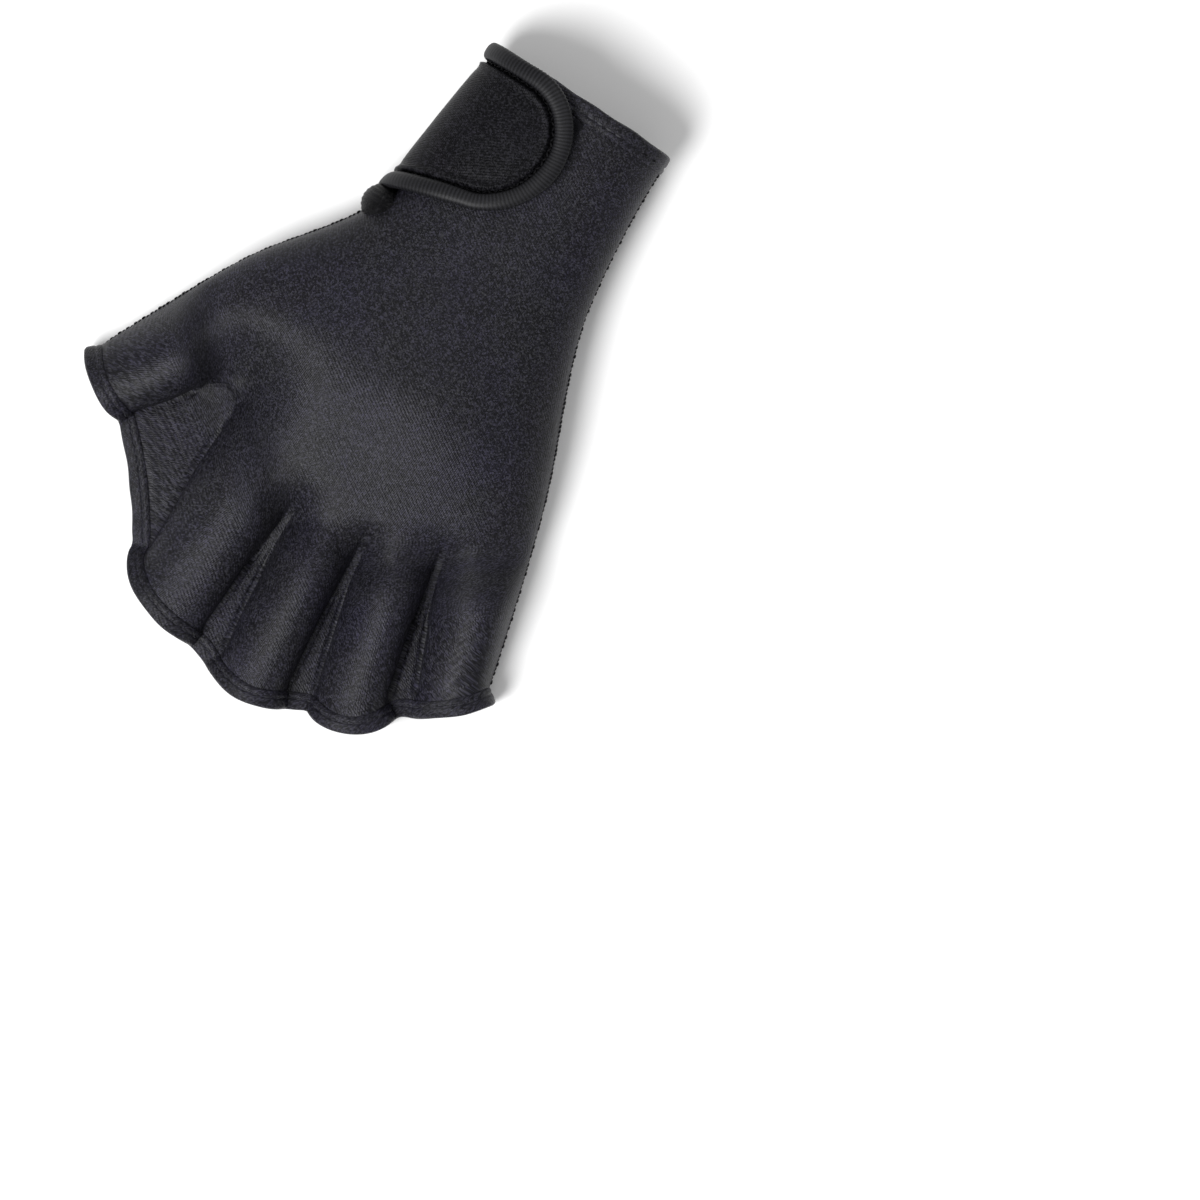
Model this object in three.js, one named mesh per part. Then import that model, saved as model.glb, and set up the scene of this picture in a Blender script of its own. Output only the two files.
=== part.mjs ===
// A fingerless webbed swim glove for the left hand, lying on its palm.
// Two neoprene panels, one over the back of the hand and one under the palm, are sewn edge to edge
// round the hand and flat together in the webs, so that five open tubes are left for the fingers.
// Folded hems finish the finger ends and the cuff. A bound strap wraps the thumb side of the cuff.
// Millimetres, +Z up, the fingers point to -Y, and the thumb is on the -X side.
import * as THREE from "three";

// Driving dimensions
const GLOVE_LENGTH = 194; // edge of the cuff to the end of the middle finger
const THUMB_REACH = 78.2; // hand's middle line to the outer corner of the thumb
const LITTLE_REACH = 67.4; // hand's middle line to the outer corner of the little finger
const WRIST_WIDTH = 55.2; // cuff lying flat, at its edge
const CUFF_END_WIDTH = 64.6; // cuff lying flat, where the hand starts to flare
const CUFF_LENGTH = 50;
const WRIST_HEIGHT = 30;
const PALM_HEIGHT = 34;
const KNUCKLE_HEIGHT = 26;
const FINGER_HEIGHT = 21.5;
const WRIST_SEAM_HEIGHT = 13; // side seams above the surface the glove lies on
const WEB_HEIGHT = 8; // middle of the two layers of a web
const WALL = 2.2; // neoprene sheet
const SEW_GAP = 0.3; // between two pieces that are sewn together
const HEM_WIDTH = 4.6;
const CUFF_HEM_WIDTH = 5;
const HEM_RISE = 0.5; // a hem's fold above the sheet
const STRAP_REACH = 41; // round the cuff, from its thumb side to the end of the strap
const STRAP_TAIL = 9; // round the cuff, from its thumb side to the seam under the palm
const STRAP_ROUND = 19; // how far the round end takes to reach the strap's full width
const STRAP_END_WIDTH = 42;
const STRAP_ROOT_WIDTH = 55;
const STRAP_THICKNESS = 2.4;
const STRAP_PILLOW = 1.3; // how far the middle of the strap swells
const STRAP_LOWEST = THREE.MathUtils.degToRad(68); // turn of the round end where the lower edge leaves
const STRAP_ARCH = { p: 4, q: 1 };
const BINDING_WIDTH = 5.2;
const BINDING_THICKNESS = 3.6;
const PATCH_THICKNESS = 1;
const PATCH_REACH = 38.4; // round the cuff, from its thumb side to the patch's free edge
const PATCH_START = 15;
const PATCH_TOP = 6.2; // edge of the cuff to the patch
const PATCH_WIDTH = 22;
const GUSSET_START = STRAP_ROOT_WIDTH; // edge of the cuff to the gusset
const GUSSET_LENGTH = 7.5;
const GUSSET_THICKNESS = 1;
const GUSSET_SWELL = 2.8; // how far the middle of the gusset swells
const GUSSET_OVER = 0.3; // shares of the thumb's width that it covers over and under the seam
const GUSSET_UNDER = 0.1;
const GUSSET_TAPER = 0.7; // share of its length lost towards its sides

// Fabric colours
const CHARCOAL = { color: 0x2a2a30, roughness: 0.9, metalness: 0 };
const TAPE = { color: 0x24242a, roughness: 0.8, metalness: 0 };
const PILE = { color: 0x151517, roughness: 1, metalness: 0 };

// Lengths of the panels between the two hems
const PANEL_START = CUFF_HEM_WIDTH + SEW_GAP;
const PANEL_END = GLOVE_LENGTH - HEM_WIDTH - SEW_GAP;
const CUFF_SHARE = 0.26; // share of a panel's rows that lie in the cuff
const HALF_GAP = SEW_GAP / 2;

// The ten lines that divide the panels into fingers and webs, from the thumb's side seam to the
// little finger's. cuff: share of the cuff's half width. rootX, frontX: shares of the reach on their
// side. rootY, frontY: shares of PANEL_END from the edge of the cuff. crease: a web starts at the root.
const LINES = [
  { cuff: -1.0, rootX: -0.742, rootY: 0.482, frontX: -1.0, frontY: 0.703 },
  { cuff: -0.63, rootX: -0.596, rootY: 0.66, frontX: -0.766, frontY: 0.763 },
  { cuff: -0.48, rootX: -0.463, rootY: 0.67, frontX: -0.451, frontY: 0.918 },
  { cuff: -0.13, rootX: -0.104, rootY: 0.777, frontX: -0.122, frontY: 0.983 },
  { cuff: -0.09, rootX: -0.077, rootY: 0.777, frontX: -0.019, frontY: 0.997 },
  { cuff: 0.2, rootX: 0.221, rootY: 0.769, frontX: 0.295, frontY: 0.985 },
  { cuff: 0.24, rootX: 0.253, rootY: 0.769, frontX: 0.399, frontY: 0.969 },
  { cuff: 0.54, rootX: 0.538, rootY: 0.722, frontX: 0.681, frontY: 0.917 },
  { cuff: 0.58, rootX: 0.569, rootY: 0.722, frontX: 0.765, frontY: 0.893 },
  { cuff: 1.0, rootX: 0.773, rootY: 0.54, frontX: 1.0, frontY: 0.813 },
];

// The nine strips between those lines. height: share of FINGER_HEIGHT, 0 in a web.
// bulge: how far the strip's end stands out, as a share of PANEL_END. skew: below 1 it stands out
// most towards the thumb.
const STRIPS = [
  { name: "thumb", height: 0.97, bulge: 0.012, skew: 1 },
  { name: "thumb web", height: 0, bulge: -0.008, skew: 1 },
  { name: "index", height: 1.02, bulge: 0.027, skew: 0.7 },
  { name: "index web", height: 0, bulge: -0.002, skew: 1 },
  { name: "middle", height: 1.03, bulge: 0.017, skew: 1 },
  { name: "middle web", height: 0, bulge: 0, skew: 1 },
  { name: "ring", height: 1.0, bulge: 0.026, skew: 1 },
  { name: "ring web", height: 0, bulge: -0.004, skew: 1 },
  { name: "little", height: 0.93, bulge: 0.008, skew: 1 },
];
const FINGER_STEPS = 6;
const WEB_STEPS = 2;

// Rows of the panels, from the cuff (0) to the finger ends (1), closest where the webs start
const ROW_ZONES = [
  { to: CUFF_SHARE, rows: 4 },
  { to: 0.7, rows: 6 },
  { to: 0.86, rows: 8 },
  { to: 1, rows: 5 },
];

// Heights along the hand, as heights above the surface the glove lies on
const CROWN = [
  { row: 0, height: WRIST_HEIGHT },
  { row: CUFF_SHARE, height: WRIST_HEIGHT },
  { row: 0.5, height: PALM_HEIGHT },
  { row: 0.72, height: KNUCKLE_HEIGHT },
  { row: 1, height: FINGER_HEIGHT },
];
const SEAM = [
  { row: 0, height: WRIST_SEAM_HEIGHT },
  { row: 0.35, height: WRIST_SEAM_HEIGHT },
  { row: 0.8, height: WEB_HEIGHT },
  { row: 1, height: WEB_HEIGHT },
];

// Shape of the arches: p and q are the powers in (1 - s^p)^(1/q)
const BACK_ARCH = { p: 2.3, q: 2 };
const PALM_ARCH = { p: 4, q: 2, flat: 1.12 }; // flat above 1 lays the middle of the arch on the surface
const FINGER_ARCH = { p: 2.2, q: 2 };
const FINGER_SOLE = { p: 2.4, q: 2, flat: 1.14 };
const RIB_LEAN = 0.88; // below 1 the finger ribs lean to the little finger's side
const CREASE_ROWS = 0.075; // share of the rows in which a web sinks to its full depth

const clamp01 = (s) => Math.min(1, Math.max(0, s));
const smooth = (s) => clamp01(s) ** 2 * (3 - 2 * clamp01(s));
const mix = (a, b, s) => a + (b - a) * s;
const arch = (s, shape) => Math.max(0, 1 - Math.abs(s) ** shape.p) ** (1 / shape.q);

// A height from one of the tables above, smooth from row to row.
function heightAt(table, row) {
  const next = Math.max(1, table.findIndex((entry) => entry.row >= row));
  const [a, b] = [table[next - 1], table[next]];
  return mix(a.height, b.height, smooth((row - a.row) / (b.row - a.row)));
}

const cuffHalf = (y) => mix(WRIST_WIDTH, CUFF_END_WIDTH, (y / CUFF_LENGTH) ** 2) / 2;

const reach = (share) => share * (share < 0 ? THUMB_REACH : LITTLE_REACH);

// The four places that a dividing line runs through. x is across the hand, y runs from the edge of
// the cuff to the fingers.
function linePlaces(line) {
  return {
    start: new THREE.Vector2(line.cuff * cuffHalf(PANEL_START), PANEL_START),
    cuff: new THREE.Vector2(line.cuff * cuffHalf(CUFF_LENGTH), CUFF_LENGTH),
    root: new THREE.Vector2(reach(line.rootX), line.rootY * PANEL_END),
    front: new THREE.Vector2(reach(line.frontX), line.frontY * PANEL_END),
  };
}

// Share of the way from the cuff's end to the finger ends at which a line passes its root. The two
// lines of a web share one value, so that a web starts square across.
function rootShare(i) {
  const own = (line) => {
    const { cuff, root, front } = linePlaces(line);
    return cuff.distanceTo(root) / (cuff.distanceTo(root) + root.distanceTo(front));
  };
  const isSide = i === 0 || i === LINES.length - 1;
  const partner = i % 2 ? i + 1 : i - 1;
  return isSide ? own(LINES[i]) : (own(LINES[i]) + own(LINES[partner])) / 2;
}

// A cubic from a to b with slopes da and db over a span, at share s of it.
const cubic = (a, da, b, db, span, s) =>
  a.clone().multiplyScalar(2 * s ** 3 - 3 * s ** 2 + 1)
    .addScaledVector(da, span * (s ** 3 - 2 * s ** 2 + s))
    .addScaledVector(b, 3 * s ** 2 - 2 * s ** 3)
    .addScaledVector(db, span * (s ** 3 - s ** 2));

// A dividing line as a path over the table: straight through the cuff, then one smooth curve through
// its root to the finger ends.
function linePath(line, i) {
  const { start, cuff, root, front } = linePlaces(line);
  const share = rootShare(i);
  const atCuff = root.clone().sub(start).divideScalar(share + CUFF_SHARE / (1 - CUFF_SHARE));
  const atRoot = front.clone().sub(cuff);
  const atFront = front.clone().sub(root).multiplyScalar(1.5 / (1 - share)).addScaledVector(atRoot, -0.5);
  const at = (row) => {
    if (row <= CUFF_SHARE) {
      const y = mix(PANEL_START, CUFF_LENGTH, row / CUFF_SHARE);
      return new THREE.Vector2(line.cuff * cuffHalf(y), y);
    }
    const s = (row - CUFF_SHARE) / (1 - CUFF_SHARE);
    return s < share
      ? cubic(cuff, atCuff, root, atRoot, share, s / share)
      : cubic(root, atRoot, front, atFront, 1 - share, (s - share) / (1 - share));
  };
  return { at, rootRow: mix(CUFF_SHARE, 1, share) };
}

const PATHS = LINES.map(linePath);
// The side seams have no crease of their own, so they take the row of the crease beside them.
const CREASE_AT = PATHS.map((path, i) => PATHS[Math.min(Math.max(i, 1), PATHS.length - 2)].rootRow);

// The columns of a panel: places across it, each in a strip and a share of that strip.
function columns() {
  const list = [];
  STRIPS.forEach((strip, index) => {
    const steps = strip.height ? FINGER_STEPS : WEB_STEPS;
    for (let i = index ? 1 : 0; i <= steps; i += 1) {
      const share = strip.height ? (1 - Math.cos((Math.PI * i) / steps)) / 2 : i / steps;
      list.push({ strip: index, share });
    }
  });
  return list;
}
const COLUMNS = columns();

function rows() {
  const list = [0];
  ROW_ZONES.forEach((zone) => {
    const from = list[list.length - 1];
    for (let i = 1; i <= zone.rows; i += 1) list.push(mix(from, zone.to, i / zone.rows));
  });
  return list;
}
const ROWS = rows();

// A place on the outer face of the back (side 1) or palm (side -1), as the glove lies.
function facePoint(column, row, side) {
  const [left, right] = [PATHS[column.strip], PATHS[column.strip + 1]];
  const [a, b] = [left.at(row), right.at(row)];
  const strip = STRIPS[column.strip];
  const creaseRow = mix(CREASE_AT[column.strip], CREASE_AT[column.strip + 1], column.share);
  const beyond = clamp01((row - creaseRow) / (1 - creaseRow));
  const plan = a.clone().lerp(b, column.share);
  const outward = new THREE.Vector2(a.y - b.y, b.x - a.x).normalize();
  const skewed = column.share ** strip.skew;
  const bulge = strip.bulge * PANEL_END * 4 * skewed * (1 - skewed) * beyond ** 2;
  plan.addScaledVector(outward, bulge);

  // The arch over or under the whole hand
  const seam = heightAt(SEAM, row) + side * HALF_GAP;
  const edge = plan.x < 0 ? PATHS[0].at(row).x : PATHS[PATHS.length - 1].at(row).x;
  const across = clamp01(plan.x / edge);
  const crown = heightAt(CROWN, row);
  const hand =
    side > 0
      ? mix(seam, crown, arch(across, BACK_ARCH))
      : Math.max(0, seam * (1 - PALM_ARCH.flat * arch(across, PALM_ARCH)));

  // The arch over or under one finger, which starts from the webs beside it or from a side seam
  const web = seam + side * WALL;
  const fromLeft = column.strip === 0 ? seam : web;
  const fromRight = column.strip === STRIPS.length - 1 ? seam : web;
  const base = mix(fromLeft, fromRight, column.share);
  const lean = 2 * column.share ** (1 / RIB_LEAN) - 1;
  const rib = mix(base, strip.height * FINGER_HEIGHT, arch(lean, FINGER_ARCH));
  const sole = Math.max(0, base * (1 - FINGER_SOLE.flat * arch(2 * column.share - 1, FINGER_SOLE)));
  const finger = strip.height ? (side > 0 ? rib : sole) : web;

  const z = mix(hand, finger, smooth((row - creaseRow) / CREASE_ROWS + 0.5));
  return new THREE.Vector3(plan.x, -plan.y, z);
}

const isSideSeam = (column) =>
  (column.strip === 0 && column.share === 0) ||
  (column.strip === STRIPS.length - 1 && column.share === 1);

const SLOPE_STEP = 0.02; // shares of a strip between the places that a slope is measured from

// Columns next to one on a panel, for measuring how the face slopes there.
function besideColumn(column, step) {
  const share = column.share + step;
  if (share >= 0 && share <= 1) return { strip: column.strip, share };
  const strip = column.strip + Math.sign(step);
  if (strip < 0 || strip >= STRIPS.length) return column;
  return { strip, share: step < 0 ? 1 + step : step };
}

// Outward normal and the direction towards the finger ends at a place on a panel's outer face.
function faceFrame(column, row, side) {
  const step = SLOPE_STEP;
  const [rowBack, rowOn] = [Math.max(0, row - step / 4), Math.min(1, row + step / 4)];
  const on = facePoint(column, rowOn, side).sub(facePoint(column, rowBack, side)).normalize();
  if (isSideSeam(column)) {
    const thumbward = new THREE.Vector3(on.y, -on.x, 0).normalize();
    return { normal: column.strip === 0 ? thumbward : thumbward.negate(), on };
  }
  const beyond = facePoint(besideColumn(column, step), row, side);
  const across = beyond.sub(facePoint(besideColumn(column, -step), row, side));
  const normal = new THREE.Vector3().crossVectors(across, on).normalize();
  return { normal: normal.z * side < 0 ? normal.negate() : normal, on };
}

// The level direction square to one end of a panel near a column, taken over a hem's width each way so
// that a hem never folds over itself. row is 0 at the cuff and 1 at the fingers.
function rimOut(i, row, side) {
  const at = (k) => facePoint(COLUMNS[k], row, side).setZ(0);
  const here = at(i);
  const along = (step) => {
    let k = i;
    while (COLUMNS[k + step] && at(k).distanceTo(here) < HEM_WIDTH) k += step;
    return at(k);
  };
  const chord = along(1).sub(along(-1));
  return new THREE.Vector3(-chord.y, chord.x, 0).normalize().multiplyScalar(row === 0 ? 1 : -1);
}

// The inner face: one wall inside the outer one, and never past the middle of the seam. At its two
// ends a panel is cut square.
function innerPoint(column, row, side) {
  const { normal } = faceFrame(column, row, side);
  const wall = normal.multiplyScalar(-WALL);
  if (row === 0 || row === 1) wall.projectOnPlane(rimOut(COLUMNS.indexOf(column), row, side));
  const inner = facePoint(column, row, side).add(wall);
  const nearest = heightAt(SEAM, row) + side * (isSideSeam(column) ? HALF_GAP : SEW_GAP);
  inner.z = side > 0 ? Math.max(inner.z, nearest) : Math.min(inner.z, nearest);
  return inner;
}

// Adds four-sided faces to an index, each cut along its shorter diagonal.
function quadsOf(points, index) {
  const apart = (a, b) => points[a].distanceTo(points[b]);
  return (a, b, c, d) =>
    apart(a, c) < apart(b, d) ? index.push(a, b, c, a, c, d) : index.push(b, c, d, b, d, a);
}

// A closed solid from two grids of the same size, the outer and the inner face of a sheet.
function sheet(outer, inner) {
  const [nRows, nCols] = [outer.length, outer[0].length];
  const points = [...outer.flat(), ...inner.flat()];
  const id = (face, r, c) => face * nRows * nCols + r * nCols + c;
  const index = [];
  const quad = quadsOf(points, index);
  for (let r = 0; r < nRows - 1; r += 1)
    for (let c = 0; c < nCols - 1; c += 1) {
      quad(id(0, r, c), id(0, r, c + 1), id(0, r + 1, c + 1), id(0, r + 1, c));
      quad(id(1, r, c), id(1, r + 1, c), id(1, r + 1, c + 1), id(1, r, c + 1));
    }
  for (let c = 0; c < nCols - 1; c += 1) {
    quad(id(0, 0, c + 1), id(0, 0, c), id(1, 0, c), id(1, 0, c + 1));
    quad(id(0, nRows - 1, c), id(0, nRows - 1, c + 1), id(1, nRows - 1, c + 1), id(1, nRows - 1, c));
  }
  for (let r = 0; r < nRows - 1; r += 1) {
    quad(id(0, r, 0), id(0, r + 1, 0), id(1, r + 1, 0), id(1, r, 0));
    quad(id(0, r + 1, nCols - 1), id(0, r, nCols - 1), id(1, r, nCols - 1), id(1, r + 1, nCols - 1));
  }
  return solid(points, index);
}

// A closed solid from rings of the same number of points, one after the other, with flat ends.
function sweep(rings) {
  const n = rings[0].length;
  const points = rings.flat();
  const index = [];
  const quad = quadsOf(points, index);
  for (let r = 0; r < rings.length - 1; r += 1)
    for (let i = 0; i < n; i += 1) {
      const [a, b] = [r * n + i, r * n + ((i + 1) % n)];
      quad(a, b, b + n, a + n);
    }
  const last = (rings.length - 1) * n;
  for (let i = 1; i < n - 1; i += 1) index.push(0, i + 1, i, last, last + i, last + i + 1);
  return solid(points, index);
}

// A geometry whose faces point out, whichever way its grid runs.
function solid(points, index) {
  let volume = 0;
  for (let i = 0; i < index.length; i += 3) {
    const [a, b, c] = [points[index[i]], points[index[i + 1]], points[index[i + 2]]];
    volume += a.dot(new THREE.Vector3().crossVectors(b, c));
  }
  const geometry = new THREE.BufferGeometry().setFromPoints(points);
  geometry.setIndex(volume > 0 ? index : index.reverse());
  geometry.computeVertexNormals();
  return geometry;
}

function panel(side) {
  const grid = (place) => ROWS.map((row) => COLUMNS.map((column) => place(column, row, side)));
  return sheet(grid(facePoint), grid(innerPoint));
}

// Section of a hem. past: share of its width past the sheet's edge. high: share of its thickness over
// the sheet's inner face. The fold makes its outer end round.
const HEM_SECTION = [
  { past: 0, high: 0 },
  { past: 0.75, high: 0 },
  { past: 0.97, high: 0.25 },
  { past: 1, high: 0.5 },
  { past: 0.97, high: 0.75 },
  { past: 0.75, high: 1 },
  { past: 0.2, high: 1 },
  { past: 0, high: 0.86 },
];

// The rings of a hem along one end of a panel. row is 0 at the cuff and 1 at the fingers.
const hemRings = (row, side, width) =>
  COLUMNS.map((column, i) => {
    const out = rimOut(i, row, side);
    const { normal } = faceFrame(column, row, side);
    const inner = innerPoint(column, row, side);
    const outer = facePoint(column, row, side).addScaledVector(normal, isSideSeam(column) ? 0 : HEM_RISE);
    outer.z = Math.max(0, outer.z); // pressed level with the palm where the glove rests on it
    return HEM_SECTION.map(({ past, high }) =>
      inner.clone().lerp(outer, high).addScaledVector(out, SEW_GAP + past * width),
    );
  });

const fingerHem = (side) => sweep(hemRings(1, side, HEM_WIDTH));

// The cuff's hem runs from the slit under the strap over the back and round under the palm.
const cuffHem = () =>
  sweep([...hemRings(0, 1, CUFF_HEM_WIDTH), ...hemRings(0, -1, CUFF_HEM_WIDTH).reverse()]);

// The outside of the cuff at an angle round it: 0 at the thumb side, positive over the back.
function cuffSection(angle, y) {
  const row = (CUFF_SHARE * (y - PANEL_START)) / (CUFF_LENGTH - PANEL_START);
  const side = angle < 0 ? -1 : 1;
  const seam = heightAt(SEAM, clamp01(row)) + side * HALF_GAP;
  const across = Math.cos(angle);
  const z =
    side > 0
      ? mix(seam, heightAt(CROWN, clamp01(row)), arch(across, BACK_ARCH))
      : Math.max(0, seam * (1 - PALM_ARCH.flat * arch(across, PALM_ARCH)));
  return new THREE.Vector3(-across * cuffHalf(y), -y, z);
}

const ROUND_STEP = 0.01; // angles at which the way round the cuff is measured
const TANGENT_STEP = 0.02;

// A place round the cuff, so many millimetres from its thumb side, and so high over its outside.
function onCuff(round, y, lift) {
  const step = round < 0 ? -ROUND_STEP : ROUND_STEP;
  let [angle, travelled] = [0, 0];
  let here = cuffSection(angle, y);
  while (travelled < Math.abs(round)) {
    const next = cuffSection(angle + step, y);
    const stride = next.distanceTo(here);
    const part = Math.min(1, (Math.abs(round) - travelled) / stride);
    angle += step * part;
    travelled += stride;
    here = cuffSection(angle, y);
  }
  const ahead = cuffSection(angle + TANGENT_STEP, y);
  const tangent = ahead.sub(cuffSection(angle - TANGENT_STEP, y)).normalize();
  return here.addScaledVector(new THREE.Vector3(-tangent.z, 0, tangent.x), lift);
}

// How high the strap's inner face runs over the cuff: sewn down at its tail, over the patch beyond.
const strapLift = (round) =>
  SEW_GAP + mix(HEM_RISE, SEW_GAP + PATCH_THICKNESS, smooth((round + STRAP_TAIL) / STRAP_TAIL));

// The strap's outline, moved in by an inset, as three stretches: top edge, round end, lower edge.
function strapOutline(inset) {
  const halfWidth = STRAP_END_WIDTH / 2;
  const centre = new THREE.Vector2(STRAP_REACH - STRAP_ROUND, halfWidth);
  const end = (turn) =>
    new THREE.Vector2(
      centre.x + (STRAP_ROUND - inset) * Math.cos(turn),
      centre.y + (halfWidth - inset) * Math.sin(turn),
    );
  const lower = end(STRAP_LOWEST);
  return {
    topRoot: new THREE.Vector2(-STRAP_TAIL, inset),
    lowerRoot: new THREE.Vector2(-STRAP_TAIL, STRAP_ROOT_WIDTH - inset),
    end: (share) => end(mix(-Math.PI / 2, STRAP_LOWEST, share)),
    top: end(-Math.PI / 2),
    lower,
  };
}

const STRAP_LONG_STEPS = 12;
const STRAP_CROSS_STEPS = 10;

function strapPanel() {
  const outline = strapOutline(BINDING_WIDTH + SEW_GAP);
  const grid = (lift) => {
    const list = [];
    for (let j = 0; j <= STRAP_CROSS_STEPS; j += 1) {
      const s = j / STRAP_CROSS_STEPS;
      const root = outline.topRoot.clone().lerp(outline.lowerRoot, s);
      const end = outline.end(s);
      const line = [];
      for (let i = 0; i <= STRAP_LONG_STEPS; i += 1) {
        const t = i / STRAP_LONG_STEPS;
        const place = root.clone().lerp(end, t);
        line.push(onCuff(place.x, place.y, strapLift(place.x) + lift(s, t)));
      }
      list.push(line);
    }
    return list;
  };
  const swell = (s, t) => arch(2 * s - 1, STRAP_ARCH) * arch(t, STRAP_ARCH);
  return sheet(
    grid((s, t) => STRAP_THICKNESS + STRAP_PILLOW * swell(s, t)),
    grid(() => 0),
  );
}

const BINDING_SIDES = 8;
const BINDING_EDGE_STEPS = 8;
const BINDING_END_STEPS = 16;

// The tape round the strap's free edge: along the top, round the end and back along the lower edge.
function strapBinding() {
  const middle = strapOutline(BINDING_WIDTH / 2);
  const path = [];
  for (let i = 0; i < BINDING_EDGE_STEPS; i += 1)
    path.push(middle.topRoot.clone().lerp(middle.top, i / BINDING_EDGE_STEPS));
  for (let i = 0; i <= BINDING_END_STEPS; i += 1) path.push(middle.end(i / BINDING_END_STEPS));
  for (let i = 1; i <= BINDING_EDGE_STEPS; i += 1)
    path.push(middle.lower.clone().lerp(middle.lowerRoot, i / BINDING_EDGE_STEPS));
  const ring = (place, i) => {
    const before = path[Math.max(0, i - 1)];
    const after = path[Math.min(path.length - 1, i + 1)];
    const out = new THREE.Vector2(after.y - before.y, before.x - after.x).normalize();
    const list = [];
    for (let k = 0; k < BINDING_SIDES; k += 1) {
      const turn = ((k + 0.5) * 2 * Math.PI) / BINDING_SIDES;
      const rounding = 1 / Math.cos(Math.PI / BINDING_SIDES);
      const aside = place.clone().addScaledVector(out, (Math.cos(turn) * rounding * BINDING_WIDTH) / 2);
      const high = (BINDING_THICKNESS * (1 + Math.sin(turn) * rounding)) / 2;
      list.push(onCuff(aside.x, aside.y, strapLift(aside.x) + high));
    }
    return list;
  };
  return sweep(path.map(ring));
}

const PATCH_LONG_STEPS = 8;
const PATCH_CROSS_STEPS = 4;

// The pile patch on the back of the cuff, which the strap's hooks grip. One corner shows.
function loopPatch() {
  const grid = (lift) => {
    const list = [];
    for (let j = 0; j <= PATCH_CROSS_STEPS; j += 1) {
      const y = PATCH_TOP + (PATCH_WIDTH * j) / PATCH_CROSS_STEPS;
      const line = [];
      for (let i = 0; i <= PATCH_LONG_STEPS; i += 1)
        line.push(onCuff(mix(PATCH_START, PATCH_REACH, i / PATCH_LONG_STEPS), y, SEW_GAP + lift));
      list.push(line);
    }
    return list;
  };
  return sheet(grid(PATCH_THICKNESS), grid(0));
}

const ROW_HALVINGS = 30;

// The row at which the thumb's side seam is so many millimetres from the edge of the cuff.
function seamRow(distance) {
  let [low, high] = [0, 1];
  for (let i = 0; i < ROW_HALVINGS; i += 1) {
    const row = (low + high) / 2;
    if (PATHS[0].at(row).y < distance) low = row;
    else high = row;
  }
  return low;
}

const GUSSET_ROUND_STEPS = 8;
const GUSSET_ROW_STEPS = 6;

// The small folded piece that ends the slit, just below the strap on the thumb's side seam.
function slitGusset() {
  const firstRow = seamRow(GUSSET_START);
  const rowSpan = seamRow(GUSSET_START + GUSSET_LENGTH) - firstRow;
  const grid = (lift) => {
    const list = [];
    for (let j = 0; j <= GUSSET_ROW_STEPS; j += 1) {
      const line = [];
      for (let i = 0; i <= GUSSET_ROUND_STEPS; i += 1) {
        const turn = (2 * i) / GUSSET_ROUND_STEPS - 1;
        const side = turn < 0 ? -1 : 1;
        const column = { strip: 0, share: (side > 0 ? GUSSET_OVER : GUSSET_UNDER) * turn ** 2 };
        const along = j / GUSSET_ROW_STEPS;
        const row = firstRow + rowSpan * along * (1 - GUSSET_TAPER * turn ** 2);
        const place = facePoint(column, row, side);
        if (turn === 0) place.z = heightAt(SEAM, row);
        const { normal } = faceFrame(column, row, side);
        line.push(place.addScaledVector(normal, SEW_GAP + lift(turn, along)));
      }
      list.push(line);
    }
    return list;
  };
  const swell = (turn, along) => (1 - turn ** 2) * Math.sin(Math.PI * along);
  return sheet(
    grid((turn, along) => GUSSET_THICKNESS + GUSSET_SWELL * swell(turn, along)),
    grid(() => 0),
  );
}

function piece(name, geometry, finish) {
  const mesh = new THREE.Mesh(geometry, new THREE.MeshStandardMaterial(finish));
  mesh.name = name;
  return mesh;
}

const glove = new THREE.Group();
glove.add(
  piece("back_panel", panel(1), CHARCOAL),
  piece("palm_panel", panel(-1), CHARCOAL),
  piece("finger_hem_back", fingerHem(1), CHARCOAL),
  piece("finger_hem_palm", fingerHem(-1), CHARCOAL),
  piece("cuff_hem", cuffHem(), CHARCOAL),
  piece("strap_panel", strapPanel(), CHARCOAL),
  piece("strap_binding", strapBinding(), TAPE),
  piece("loop_patch", loopPatch(), PILE),
  piece("slit_gusset", slitGusset(), TAPE),
);

// The origin is on the surface the glove lies on, under the middle of its outline.
const box = new THREE.Box3().setFromObject(glove, true);
const middle = box.getCenter(new THREE.Vector3());
glove.children.forEach((mesh) => mesh.position.set(-middle.x, -middle.y, -box.min.z));

export default glove;
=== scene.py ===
"""A fingerless webbed swim glove for the left hand, lying on its palm on a pale table.

Two neoprene sheets are sewn edge to edge round the hand and flat together in the webs. Folded hems
finish the finger ends and the cuff, and a bound, padded strap wraps the thumb side of the cuff.
The tables and sizes are in millimetres, and the finished pieces in metres: +Z up, the fingers point
to -Y, and the thumb is on the -X side.
"""

import logging
import math
from collections.abc import Sequence
from dataclasses import dataclass, field
from enum import Enum

import bpy
import numpy as np
from mathutils import Matrix, Vector


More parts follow.
